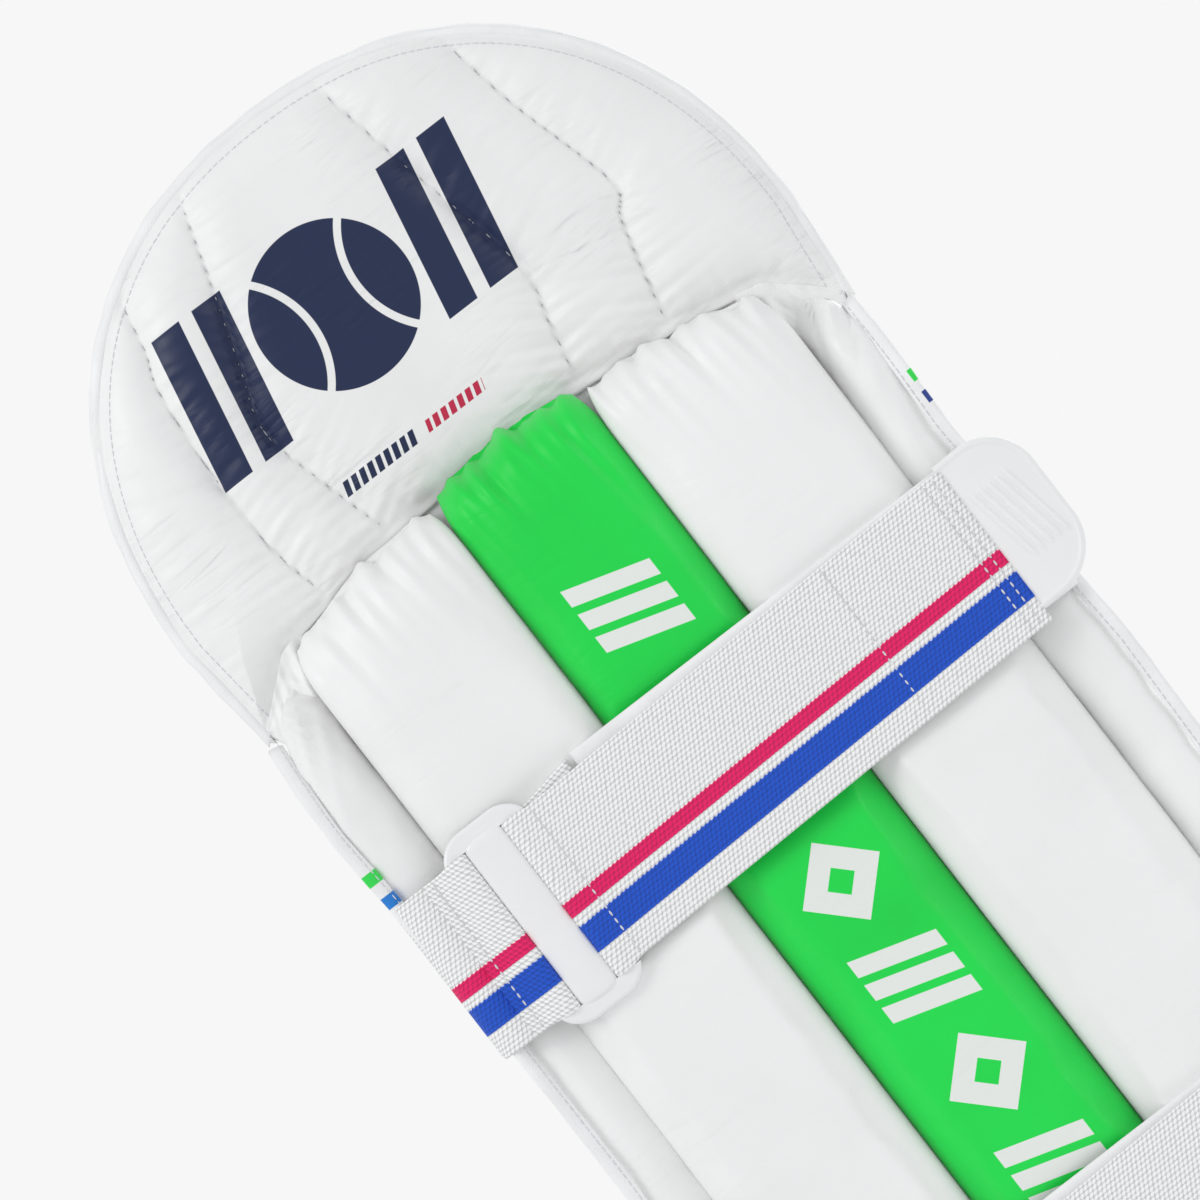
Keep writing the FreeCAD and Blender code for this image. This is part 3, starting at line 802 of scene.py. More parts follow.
# %% Make a cushion
def cushion(name, node, finish, top_line, seed, full_rear, squareness):
    low, high = box_mm(node)
    half_wide = (high[0] - low[0]) / 2 + 1.3
    middle_x = (high[0] + low[0]) / 2
    floor_y = low[1]
    deep = high[1] - floor_y
    low_round, top_round = 26.0, 17.0
    quarter = 1 - np.cos(np.linspace(0, math.pi / 2, 9))
    levels = np.concatenate([low[2] + low_round * quarter[:-1],
                             np.linspace(low[2] + low_round, high[2] - top_round, 86)[:-1],
                             high[2] - top_round * quarter[::-1]])
    rings = []
    for z in levels:
        part = max(1 - (z - low[2]) / low_round, 1 - (high[2] - z) / top_round, 0)
        depth = deep * (1 - part ** 2.4) ** (1 / 2.4)
        width = half_wide * (1 - 0.10 * part ** 2)
        oval = full_oval(width, 1.0, squareness, 60)
        y = floor_y + max(depth, 1.5) * (oval[:, 1] + 1) / 2
        rings.append(np.stack([middle_x + oval[:, 0], y, np.full(len(oval), z)], axis=1))
    piece = loft(name, rings)
    inflate(piece, cap=7.0, pressure=5.0, rings=(len(rings), 60))
    smoother(piece, 1)
    at = points_of(piece)
    lift = np.clip((at[:, 2] - 470) / (high[2] - 470), 0, 1)
    lift = lift * lift * (3 - 2 * lift)
    at[:, 2] += lift * (top_line(at[:, 0]) + 1.9 * ripple(at[:, 0], 13, seed) - high[2])
    rear = (at[:, 1] - floor_y) / deep
    below_top = top_line(at[:, 0]) - at[:, 2]
    gather = near(below_top, 20) * ripple(at[:, 0] + 0.12 * below_top, 10, seed + 1)
    at[:, 1] += np.clip(rear, 0, 1) * (2.6 * gather + 0.6 * ripple(at[:, 2] + 0.3 * at[:, 0], 70, seed + 2))
    above_bottom = at[:, 2] - low[2]
    tuck = near(above_bottom, 12) * ripple(at[:, 0], 12, seed + 3)
    at[:, 1] += np.clip(rear, 0, 1) * 1.2 * tuck
    rear_limit = full_rear - (full_rear - high[1]) * strap_press(at[:, 2])
    at[:, 1] = limit(at[:, 1], floor_y - 0.3, rear_limit, 2.5)
    at[:, 0] = limit(at[:, 0], low[0] - 1.6, high[0] + 1.6, 1.0)
    move_points(piece, at)
    smoother(piece, 1)
    piece.data.materials.append(finish)
    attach(piece, "leg_guard")
    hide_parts(node, node.replace("cover", "foam"))
    return piece

# %% [markdown]
# ## Three cushions
# The outer two drop away at their far side. The middle one stands a little higher and is narrower.

# %% The three cushions
def side_top(x):
    return 562.0 - 11.0 * np.clip((np.abs(x) - 34) / 70, 0, 1) ** 1.6


def centre_top(x):
    return 566.0 - 3.0 * (np.abs(x) / 32) ** 2


left_cushion = cushion("left_cushion", "left_bolster_cover", white_skin, side_top, 11, 32.5, 3.4)
right_cushion = cushion("right_cushion", "right_bolster_cover", white_skin, side_top, 23, 32.5, 3.4)
centre_cushion = cushion("centre_cushion", "centre_bolster_cover", green_skin, centre_top, 35, 28.5, 2.7)
for piece, slot_name in ((left_cushion, "white_skin"), (right_cushion, "white_skin"),
                         (centre_cushion, "green_skin")):
    print(piece.name, "has", len(piece.data.polygons), "faces")

# %% [markdown]
# ## The top hat
# The top hat is the flap above the knee: two faces of coated fabric over foam, quilted from the rear
# with four seams that bow outwards and kink back near the bottom. Between seams the fabric stands up,
# and at each seam it is pulled down, so the height of a point is worked out from how far it is from
# the nearest seam and from the edge.

# %% Seams of the top hat
HAT_SEAMS = [
    smooth_line([(76, 686), (80, 665), (85, 650), (88, 612), (87, 581), (80, 550)]),
    smooth_line([(37, 702), (47, 670), (57, 640), (64, 617), (58, 588), (49, 556)]),
    smooth_line([(-24, 706), (-32, 664), (-43, 609), (-39, 586), (-33, 557)]),
    smooth_line([(-70, 688), (-76, 655), (-87, 611), (-81, 598), (-70, 553)]),
]
FRONT_SEAMS = [smooth_line([(x, 562), (x, 640), (x * 0.97, 700)]) for x in (-96, -58, -19, 19, 58, 96)]
HAT_MID_Y = -7.0
REAR_RISE = 6.5              # how far the rear fabric stands up in mid panel
FRONT_RISE = 5.0
REAR_SEED = 51
FRONT_SEED = 71
print("seams in the rear and front of the top hat:", len(HAT_SEAMS), len(FRONT_SEAMS))

# %% [markdown]
# ## The top hat's outline
# Tape, hem stitches and padding all follow the outline at some inset, so it is one function.

# %% The outline at an inset
def hat_edge_line(inset, count=260):
    """The hat's closed outline, drawn in by an inset."""
    turn = np.linspace(0, math.pi, count)
    wide = np.sign(np.cos(turn)) * np.abs(np.cos(turn)) ** (2 / HAT_FULLNESS)
    high = np.sin(turn) ** (2 / HAT_FULLNESS)
    arch = np.stack([(HAT_HALF - inset) * wide, HAT_SHOULDER + (HAT_ARCH - inset) * high], axis=1)
    sides = np.linspace(-(HAT_CORNER[0] - inset), HAT_CORNER[0] - inset, 120)
    low = np.stack([sides, hat_low_edge(sides * HAT_CORNER[0] / (HAT_CORNER[0] - inset)) + inset], axis=1)
    return even_ring(np.vstack([arch, low]), 420)


HAT_RIM = hat_edge_line(0.0)

# %% [markdown]
# ## The height of quilted cloth
# Cloth stands up between seams, dips at each seam, and short folds run out from every stitch line,
# deeper near the lower edge where the flap is sewn down. The folds stop before the edge tape.

# %% Height of the quilting
def quilt(distance, half_panel):
    """Height of padded cloth between seams, 0 at a seam and 1 in mid panel."""
    part = np.clip(distance / half_panel, 0, 1)
    return 1 - (1 - part) ** 2.3


def hat_height(x, z, seams, rise, seed):
    """How far a face of the hat stands off its mid plane."""
    at = np.stack([x, z], axis=1)
    rim, round_rim = to_line(at, np.vstack([HAT_RIM, HAT_RIM[:1]]))
    off = np.full(len(x), 1e9)
    folds = np.zeros(len(x))
    low_down = near(z - hat_low_edge(x), 38)
    for number, seam in enumerate(seams):
        gap, along = to_line(at, seam)
        off = np.minimum(off, gap)
        drag = near(gap, 13) * (1 - near(gap, 1.2))
        folds += drag * (0.35 + 0.95 * low_down) * ripple(along + 0.25 * gap, 8.5, seed + number)
    body = 4.0 + 6.0 * (1 - np.exp(-rim / 20))
    padded = 0.85 * rise * quilt(off, 17) * quilt(rim - 3.5, 20)
    hem = near(np.abs(rim - 5.2), 1.3) * -0.9
    hem_folds = near(np.maximum(rim - 5, 0), 9) * (0.25 + 0.75 * low_down) * ripple(round_rim, 9, seed + 9)
    sunk = -1.0 * near(off, 1.0)
    inside_tape = np.clip((rim - 4) / 4, 0, 1)
    return body + padded + hem + sunk * quilt(rim - 3.5, 6) + inside_tape * (1.2 * folds + 0.8 * hem_folds)

# %% [markdown]
# ## The padded flap
# The two faces use the same grid and different heights, and are then sewn into one padded skin.

# %% Make the top hat
def hat_sheet(across_count=250, up_count=150):
    part = np.linspace(-1, 1, across_count)
    x = (HAT_HALF - 1.0) * np.sin(part * math.pi / 2)
    up = np.linspace(0, 1, up_count)[:, None]
    low = hat_low_edge(x)[None, :] + 0.8
    return np.broadcast_to(x, (up_count, across_count)), low + up * (hat_top_edge(x)[None, :] - 0.8 - low)


def make_hat():
    x, z = hat_sheet()
    rear = HAT_MID_Y + hat_height(x.ravel(), z.ravel(), HAT_SEAMS, REAR_RISE, REAR_SEED)
    front = HAT_MID_Y - hat_height(x.ravel(), z.ravel(), FRONT_SEAMS, FRONT_RISE, FRONT_SEED)
    outer = np.stack([x, rear.reshape(x.shape), z], axis=-1)
    inner = np.stack([x, front.reshape(x.shape), z], axis=-1)
    piece = two_faces("top_hat_pad", outer, inner)
    piece.data.materials.append(hat_skin)
    return piece


hat_pad = make_hat()
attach(hat_pad, "top_hat")
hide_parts("top_hat_front_cover", "top_hat_lining", "top_hat_foam", "top_hat_board")
print("faces in the top hat:", len(hat_pad.data.polygons))

# %% [markdown]
# ## Bound edges
# Every raw edge is folded inside a tape and sewn through. The tape is a rounded strip that runs
# along a path, so one function sweeps a small oval along any path.

# %% Sweep an oval along a path
def sweep(name, path, half_out, half_side, out_of, power=2.6, around=12):
    """Sweep an oval along a path. out_of gives the direction of the oval's half_out at each point."""
    path = np.asarray(path, dtype=float)
    steps = np.gradient(path, axis=0)
    steps /= np.linalg.norm(steps, axis=1, keepdims=True)
    out = np.asarray(out_of, dtype=float)
    out = out - (out * steps).sum(axis=1, keepdims=True) * steps
    out /= np.linalg.norm(out, axis=1, keepdims=True)
    side = np.cross(steps, out)
    oval = full_oval(1.0, 1.0, power, around)
    half_out = np.broadcast_to(half_out, (len(path),))
    half_side = np.broadcast_to(half_side, (len(path),))
    rings = (path[:, None] + out[:, None] * (oval[None, :, :1] * half_out[:, None, None])
             + side[:, None] * (oval[None, :, 1:] * half_side[:, None, None]))
    return loft(name, rings)

# %% [markdown]
# ## What each piece says
# A finished piece gets its finish, is attached to the body that carries it, and hides the design parts that
# it takes the place of.

# %% Finish a piece
def finish_piece(piece, material, body, slot_name, *nodes, padded=None):
    piece.data.materials.append(material)
    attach(piece, body)
    if nodes:
        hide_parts(*nodes)
    return piece

# %% [markdown]
# ## The top hat's edge tape
# The tape runs round the free edge only. Along the lower edge the flap is sewn down, so it stays open.

# %% The top hat's edge tape
rim_inner = hat_edge_line(2.4)
seamed = (np.abs(rim_inner[:, 0]) < HAT_NOTCH[0] + 1) & (rim_inner[:, 1] < HAT_SHOULDER)
first_free = int(np.argmax(~seamed & np.roll(seamed, 1)))
free_part = (np.arange(420) + first_free) % 420
free_part = free_part[~seamed[free_part]]
rim_step = np.roll(rim_inner, -1, axis=0) - np.roll(rim_inner, 1, axis=0)
rim_out = np.stack([rim_step[:, 1], np.zeros(420), -rim_step[:, 0]], axis=1)
from_middle = np.stack([rim_inner[:, 0], np.zeros(420), rim_inner[:, 1] - HAT_SHOULDER - 30], axis=1)
rim_out *= np.sign((rim_out * from_middle).sum(axis=1, keepdims=True))
rim_round = np.arange(len(free_part)) * 1.7
rim_y = HAT_MID_Y + 0.3 * ripple(rim_round, 60, 4)
rim_path = np.stack([rim_inner[free_part, 0], rim_y, rim_inner[free_part, 1]], axis=1)
hat_binding = sweep("top_hat_edge_tape", rim_path, 2.9 + 0.25 * ripple(rim_round, 24, 6), 5.0,
                    rim_out[free_part], power=2.4, around=16)
finish_piece(hat_binding, edge_tape, "top_hat", "binding_tape", "top_hat_binding")
print("points along the top hat's tape:", len(free_part))

# %% [markdown]
# ## Wings
# Each wing is a padded flap sewn to the shin's edge, seen edge-on from the rear as a soft roll beside
# the cushion, with a bound edge. It is lofted from its hinge line to its free edge, swelled by
# simulation, and its top end is drawn in under the top hat's corner.

# %% Padded wings
WING_ROOT = np.array([112.0, -8.5])
WING_TIP = np.array([122.5, 22.0])
WING_HALF_T = 6.0
wing_low, wing_high = box_mm("left_wing_cover")
WING_WAVES = {
    "left": ([84, 180, 260, 330, 390, 455, 485, 524], [-1.0, -3.0, -2.0, -4.5, -4.0, -0.5, 1.5, 1.0]),
    "right": ([84, 180, 260, 330, 375, 473, 497, 524], [-1.0, -2.0, 0.5, 1.0, 2.0, -3.5, -2.5, -1.0]),
}


print("wing height in mm:", round(wing_high[2] - wing_low[2]))


def wing_tip_at(side, z):
    """Where the wing's free edge is at a height, seen from above, for the +X side."""
    heights, shifts = WING_WAVES[side]
    shift = np.interp(z, heights, shifts)
    tuck = np.clip((z - 494) / 32, 0, 1) ** 1.7
    return np.array([WING_TIP[0] + shift - 1.5 * tuck, WING_TIP[1] - 17 * tuck])

# %% [markdown]
# ## The wing's inside padding
# A wing lies against the cushion, so its inner face is padded too, and its top end is drawn up to the
# slanting corner of the top hat.

# %% Padding and lift of a wing
WING_ALONG = (WING_TIP - WING_ROOT) / np.linalg.norm(WING_TIP - WING_ROOT)
WING_OUT = np.array([WING_ALONG[1], -WING_ALONG[0]])


def inner_padding(x, y, z):
    """How far the wing's inner face is pushed out by its padding, which rests against the cushion."""
    off_plane = (x - WING_ROOT[0]) * WING_OUT[0] + (y - WING_ROOT[1]) * WING_OUT[1]
    share = ((x - WING_ROOT[0]) * WING_ALONG[0] + (y - WING_ROOT[1]) * WING_ALONG[1]) / 32.3
    inner = np.clip((1.5 - off_plane) / 6.0, 0, 1)
    belly = np.sin(math.pi * np.clip((share + 0.12) / 1.27, 0, 1)) ** 0.7
    full = 7.0 - 1.6 * near(np.abs(z - 500), 22) + 0.6 * ripple(z, 90, 5)
    ends = np.clip((z - wing_low[2]) / 25, 0, 1)
    return -full * inner * belly * ends


def wing_lift(x, z, top):
    """Draws the wing's top end up to the slanting corner of the top hat."""
    share = np.clip((z - 478) / (top - 478), 0, 1) ** 1.5
    return share * (hat_low_edge(np.minimum(np.abs(x), 130.5)) - 2.0 - top)

# %% [markdown]
# ## One wing with its tape
# The wing is lofted upright in thin slices across it, swelled, folded and then edged with tape. The
# function gives back the line on the tape where its stitches go.

# %% Make a wing
def make_wing(side, seed):
    sign = 1 if side == "left" else -1
    rings = []
    top = wing_high[2] + 2
    levels = np.linspace(wing_low[2], top, 92)
    for z in levels:
        tip = wing_tip_at(side, z)
        along = (tip - WING_ROOT) / np.linalg.norm(tip - WING_ROOT)
        across = np.array([along[1], -along[0]])
        from_end = min(z - wing_low[2], top - z)
        part = 1 - min(from_end / 14, 1)
        thick = WING_HALF_T * max((1 - part ** 2.2) ** (1 / 2.2), 0.25)
        middle = (WING_ROOT + tip) / 2
        half_long = np.linalg.norm(tip - WING_ROOT) / 2 + 5.6
        oval = full_oval(half_long, thick, 3.2, 40)
        flat = middle + oval[:, :1] * along + oval[:, 1:] * across
        rings.append(np.stack([sign * flat[:, 0], flat[:, 1], np.full(len(flat), z)], axis=1))
    piece = loft(side + "_wing_pad", rings)
    inflate(piece, cap=2.6, pressure=3.0)
    smoother(piece, 1)
    at = points_of(piece)
    at[:, 2] += wing_lift(at[:, 0], at[:, 2], top)
    at[:, 0] += sign * inner_padding(at[:, 0] * sign, at[:, 1], at[:, 2])
    side_of = np.sign(at[:, 0] * sign - 117)
    free = np.clip((at[:, 1] + 2) / 20, 0, 1)
    fold = ripple(at[:, 2] + 0.4 * at[:, 1], 34, seed) * 0.5 + ripple(at[:, 2], 13, seed + 1) * 0.22
    at[:, 0] += sign * free * fold * (1 + 0.3 * side_of)
    bunch = near(top + 8 - at[:, 2], 18) * ripple(at[:, 0] * 1.4 + 0.6 * at[:, 2], 9, seed + 2)
    at[:, 1] += bunch * 1.8
    move_points(piece, at)
    finish_piece(piece, white_skin, side + "_wing", "white_skin", side + "_wing_cover", side + "_wing_foam",
                 padded=0.7)
    path, out, face = [], [], []
    lean = math.radians(28)
    for z in np.linspace(wing_low[2] + 1, top - 1, 150):
        tip = wing_tip_at(side, z)
        direction = np.array([math.cos(lean), math.sin(lean)])
        spot = tip + direction * 7.4
        path.append((sign * spot[0], spot[1], z + float(wing_lift(spot[0], z, top))))
        out.append((sign * direction[0], direction[1], 0))
        face.append((-sign * direction[1], direction[0], 0))
    path, out, face = np.array(path), np.array(out), np.array(face)
    tape = sweep(side + "_wing_edge_tape", path, 3.0 + 0.2 * ripple(path[:, 2], 30, seed + 4), 1.5, out,
                 power=2.8)
    finish_piece(tape, wing_tape[side], side + "_wing", "binding_tape", side + "_wing_binding")
    return path - out * 0.9 + face * 1.62


wing_stitch_lines = {side: make_wing(side, seed) for side, seed in (("left", 101), ("right", 131))}
print("wings made:", list(wing_stitch_lines))

# %% [markdown]
# ## Gathered corners
# Where a wing, a cushion and the top hat's corner meet, the spare fabric is caught in the seam in
# a bunch of small folds. Each bunch is a short loft with deep ripples, drawn up to the hat's edge.

# %% Bunched corners
def corner_bunch(side, seed):
    sign = 1 if side == "left" else -1
    bottom, top = 500.0, 553.0
    rings = []
    for z in np.linspace(bottom, top, 46):
        share = (z - bottom) / (top - bottom)
        half_wide = 9.0 + 7.5 * share + 2.5 * share ** 3
        half_deep = 4.0 + 3.5 * math.sin(math.pi * min(share * 1.1, 1))
        oval = full_oval(half_wide, half_deep, 2.4, 64)
        x = 111.0 + 1.6 * share + oval[:, 0]
        y = -5.0 + oval[:, 1]
        rings.append(np.stack([sign * x, y, np.full(64, z)], axis=1))
    piece = loft(side + "_corner_bunch", rings)
    at = points_of(piece)
    share = np.clip((at[:, 2] - bottom) / (top - bottom), 0, 1)
    folds = ripple(at[:, 0] + 0.25 * at[:, 2], 8, seed) + 0.5 * ripple(at[:, 0] - 0.4 * at[:, 2], 5, seed + 1)
    at[:, 1] += np.clip((at[:, 1] + 5) / 6, 0, 1) * 1.5 * share * folds
    at[:, 2] += share ** 2 * (hat_low_edge(np.abs(at[:, 0])) + 3.5 - top)
    move_points(piece, at)
    smoother(piece, 1)
    finish_piece(piece, white_skin, "leg_guard", "white_skin", padded=0.6)


corner_bunch("left", 151)
corner_bunch("right", 161)
print("corner bunches made: 2")

# %% [markdown]
# ## Fabric hinges
# A wing is joined to the shin by a strip of the same fabric, and the top hat by another. Each strip spans the
# joint from one part to the other.

# %% Ribbons and fabric hinges
def ribbon(name, path, low, high, thick=1.8, columns=26, wave=None, lift=None, spread=None):
    """A flat strap along a path seen from above. Its width is upright, and its UV map is in metres.
    lift raises the strap at each point of the path, for a strap that runs a little out of level, and
    spread makes it wider there, as webbing is where it is squeezed round a bar."""
    path = np.asarray(path, dtype=float)
    step = np.gradient(path, axis=0)
    step /= np.linalg.norm(step, axis=1, keepdims=True)
    normal = np.stack([-step[:, 1], step[:, 0]], axis=1)
    along = np.concatenate([[0], np.cumsum(np.linalg.norm(np.diff(path, axis=0), axis=1))])
    width = high - low
    share = (1 - np.cos(np.linspace(0, math.pi, columns))) / 2
    edge = np.clip(np.minimum(share, 1 - share) * width / 1.2, 0, 1)
    half = thick / 2 * np.sqrt(np.clip(1 - (1 - edge) ** 2, 0.02, 1))
    points, uvs = [], []
    for i in range(len(path)):
        rise = 0.0 if lift is None else lift[i]
        more = 0.0 if spread is None else spread[i]
        z = low + share * width + rise + (share - 0.5) * more
        shift = np.zeros(columns) if wave is None else wave(path[i, 0], z - rise)
        for sign, order in ((1, slice(None)), (-1, slice(None, None, -1))):
            x = path[i, 0] + normal[i, 0] * (sign * half + shift)
            y = path[i, 1] + normal[i, 1] * (sign * half + shift)
            points.append(np.stack([x, y, z], axis=1)[order])
            uvs.append(np.stack([np.full(columns, along[i]), high + rise - z], axis=1)[order])
    around = 2 * columns
    points = np.vstack(points)
    uvs = np.vstack(uvs)
    faces = []
    for i in range(len(path) - 1):
        for j in range(around):
            k = (j + 1) % around
            faces.append((i * around + j, i * around + k, (i + 1) * around + k, (i + 1) * around + j))
    last = (len(path) - 1) * around
    for j in range(columns - 1):
        faces.append((j, around - 1 - j, around - 2 - j, j + 1))
        faces.append((last + j, last + j + 1, last + around - 2 - j, last + around - 1 - j))
    return outward(make_piece(name, points, faces, uvs))

# %% [markdown]
# ## Hinges of the wings
# Each wing has an inner and an outer strip that runs from the shin to the wing.

# %% Strips at the wings
def hinge_strips(side):
    sign = 1 if side == "left" else -1
    inner = smooth_line([(97, -2.5), (103, -2.2), (108, -1.6), (112.5, 0.6)], 16)
    outer = smooth_line([(105.2, -13.4), (108.5, -15.3), (112.5, -15.2), (115.4, -13.2)], 16)
    for label, path in (("inner", inner), ("outer", outer)):
        path = path * np.array([sign, 1])
        strip = ribbon(side + "_wing_hinge_" + label, path, wing_low[2] + 2, wing_high[2], thick=1.0,
                       columns=60)
        strip.data.materials.append(white_skin)
        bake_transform(strip)


for wing_side in ("left", "right"):
    hinge_strips(wing_side)
print("wing hinge strips made: 4")

# %% [markdown]
# ## Hinge of the top hat
# A curved sheet joins the shin to the arched lower edge, once in front and once behind. Solidify gives
# it the thickness of a double layer of cloth.

# %% Strips at the top hat
def hat_hinge_strip(name, body_y, hat_y, body_z, seed):
    """The strip between the shin and the hat's arched lower edge."""
    x = np.linspace(-103, 103, 150)
    rows = []
    for part in np.linspace(0, 1, 14):
        z = body_z + part * (hat_low_edge(x) + 4 - body_z)
        y = body_y(x) + part * (hat_y - body_y(x)) + 0.5 * math.sin(math.pi * part) * ripple(x, 12, seed)
        rows.append(np.stack([x, y, z], axis=1))
    rows = np.array(rows)
    count = rows.shape[1]
    faces = [(i * count + j, i * count + j + 1, (i + 1) * count + j + 1, (i + 1) * count + j)
             for i in range(len(rows) - 1) for j in range(count - 1)]
    strip = make_piece(name, rows.reshape(-1, 3), faces)
    wall = strip.modifiers.new("cloth", "SOLIDIFY")
    wall.thickness = 1.0 * MM
    wall.offset = 0
    with_modifiers(strip)
    outward(strip)
    strip.data.materials.append(white_skin)
    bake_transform(strip)
    return strip


def shin_arc_y(radius, x):
    return ARC_Y - np.sqrt(radius ** 2 - x ** 2)


front_strip = hat_hinge_strip("top_hat_hinge_front", lambda x: shin_arc_y(286.0, x), -13.5, 538.0, 81)
hat_hinge_strip("top_hat_hinge_rear", lambda x: -3.4 + 0 * x, -5.0, 536.0, 91)
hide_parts("hat_hinge_strip")
print("top hat hinge strips made: 2")

# %% [markdown]
# ## The front
# The shin has upright padded ribs with stitched valleys between them, three fat rolls lie across the
# knee, and the instep below has an arch that sits over the boot. All of them bend round the leg, so
# they are built in polar form about the shin's centre line.

# %% The shin's curve
HALF_ANGLE = math.radians(21.2)
RIBS = 7


def on_arc(theta, radius, z):
    return np.stack([radius * np.sin(theta), ARC_Y - radius * np.cos(theta), z], axis=-1)

# %% [markdown]
# ## Shin ribs
# Seven ribs, each a swell between two stitched valleys. The swell is flatter than a circle because the
# foam inside is a flat strip, and it is gathered in at both ends.

# %% Make the shin ribs
def make_shin_ribs():
    low, high = box_mm("shin_face_cover")
    theta = np.linspace(-HALF_ANGLE, HALF_ANGLE, 24 * RIBS + 1)
    z = np.concatenate([np.linspace(low[2], low[2] + 14, 9)[:-1],
                        np.linspace(low[2] + 14, high[2] - 14, 90)[:-1],
                        np.linspace(high[2] - 14, high[2], 9)])
    theta, z = np.meshgrid(theta, z)
    share = (theta + HALF_ANGLE) / (2 * HALF_ANGLE) * RIBS
    across = 2 * np.abs(share - np.round(share))
    from_end = np.minimum(z - low[2], high[2] - z)
    rise = 10.0 * (1 - (1 - across) ** 2.4)
    rise = rise * (1 - 0.75 * (1 - np.clip(from_end / 14, 0, 1)) ** 2.2)
    arc = theta * 300
    folds = near(from_end, 9) * ripple(arc, 9, 201) + 0.35 * near(across, 0.3) * ripple(z + 3 * arc, 13, 202)
    outer = on_arc(theta, 290.4 + rise + 0.6 * folds, z)
    inner = on_arc(theta, 284.2 + 0 * theta, z)
    piece = two_faces("shin_ribs", outer, inner)
    finish_piece(piece, white_skin, "leg_guard", "white_skin", "shin_face_cover", "shin_rib_foam",
                 padded=0.8)

# %% [markdown]
# ## Instep
# The instep pad has an arch at the bottom with rounded corners, and tape round its edge.

# %% Make the instep
def make_instep():
    low, high = box_mm("instep_cover")
    theta = HALF_ANGLE * np.sin(np.linspace(-math.pi / 2, math.pi / 2, 130))
    half_wide, arch_high = 62.0, 34.0
    corner = 26.0
    x = 297 * np.sin(theta)
    edge = 297 * math.sin(HALF_ANGLE)
    arch = arch_high * np.sqrt(np.clip(1 - (x / half_wide) ** 2, 0, 1))
    past = np.clip((np.abs(x) - (edge - corner)) / corner, 0, 1)
    rounded = corner * (1 - np.sqrt(1 - past ** 2))
    bottom = low[2] + np.maximum(arch, rounded)
    up = np.linspace(0, 1, 44)[:, None]
    z = bottom[None, :] + up * (high[2] - bottom[None, :])
    theta = np.broadcast_to(theta, z.shape)
    x = np.broadcast_to(x, z.shape)
    from_rim = np.minimum.reduce([z - bottom[None, :], high[2] - z, edge - np.abs(x)])
    rise = 11.0 * (1 - (1 - np.clip(from_rim / 16, 0, 1)) ** 2.2)
    folds = near(from_rim, 7) * ripple(x + z, 11, 211)
    outer = on_arc(theta, 285.6 + rise + 0.6 * folds, z)
    inner = on_arc(theta, 284.2 - 0.35 * rise - 0.4 * folds, z)
    piece = two_faces("instep_pad", outer, inner)
    finish_piece(piece, white_skin, "leg_guard", "white_skin", "instep_cover", "instep_foam", padded=0.8)
    rim_theta = np.concatenate([np.full(12, theta[0, 0]), theta[0], np.full(12, theta[0, -1])])
    side_z = np.linspace(high[2] - 4, bottom[0] + 3, 12)
    rim_z = np.concatenate([side_z, bottom, side_z[::-1]])
    rim_line = smooth_line(np.stack([rim_theta * 290, rim_z], axis=1), 200)
    rim_path = on_arc(rim_line[:, 0] / 290, np.full(200, 284.9), rim_line[:, 1])
    inward = np.stack([-np.gradient(rim_line[:, 1]), np.zeros(200), np.gradient(rim_line[:, 0])], axis=1)
    tape = sweep("instep_edge_tape", rim_path, 2.6, 2.4, inward, around=12)
    finish_piece(tape, edge_tape, "leg_guard", "binding_tape")


make_shin_ribs()
make_instep()

# %% [markdown]
# ## Knee rolls
# Three stuffed rolls lie across the front of the knee. Each is a loft of D-shaped rings about the shin's
# centre line, closed down at both ends, swelled, and wrinkled along its upper and lower seams.

# %% Knee rolls
def make_knee_roll(level, seed):
    node = "knee_roll_" + level + "_cover"
    low, high = box_mm(node)
    middle = (low[2] + high[2]) / 2
    half_tall = (high[2] - low[2]) / 2
    rings = []
    for theta in np.linspace(-HALF_ANGLE, HALF_ANGLE, 90):
        end = np.clip((HALF_ANGLE - abs(theta)) / 0.07, 0, 1)
        full = 1 - 0.72 * (1 - end) ** 2.2
        turn = np.linspace(-math.pi / 2, math.pi / 2, 20)
        radius = 286.0 + (26.0 * full - 1.5) * np.abs(np.cos(turn)) ** 0.75
        z = middle + (half_tall - 0.3) * np.sin(turn)
        back = np.linspace(1, -1, 12)[1:-1]
        radius = np.concatenate([radius, np.full(10, 284.4)])
        z = np.concatenate([z, middle + (half_tall - 0.5) * back])
        rings.append(on_arc(np.full(30, theta), radius, z))
    piece = loft("knee_roll_" + level, rings)
    inflate(piece, cap=2.0, pressure=2.0)
    smoother(piece, 1)
    at = points_of(piece)
    offset = at[:, :2] - np.array([0, ARC_Y])
    radius = np.linalg.norm(offset, axis=1)
    theta = np.arctan2(offset[:, 0], -offset[:, 1])
    seam = half_tall - np.abs(at[:, 2] - middle)
    folds = near(seam, 8) * ripple(theta * 300, 10, seed) + 0.4 * ripple(theta * 300 + at[:, 2], 46, seed + 1)
    push = np.clip((radius - 287) / 20, 0, 1) * 0.9 * folds
    at[:, 0] += push * np.sin(theta)
    at[:, 1] -= push * np.cos(theta)
    at[:, 2] = np.clip(at[:, 2], low[2] + 0.05, high[2] - 0.05)
    move_points(piece, at)
    return finish_piece(piece, white_skin, "leg_guard", "white_skin", node, node.replace("cover", "foam"),
                        padded=0.9)


for level, seed in (("lower", 221), ("middle", 231), ("upper", 241)):
    make_knee_roll(level, seed)
print("knee rolls made: 3")

# %% [markdown]
# ## Side tapes
# A straight tape closes each long side of the shin, so it is one sweep along an upright line.

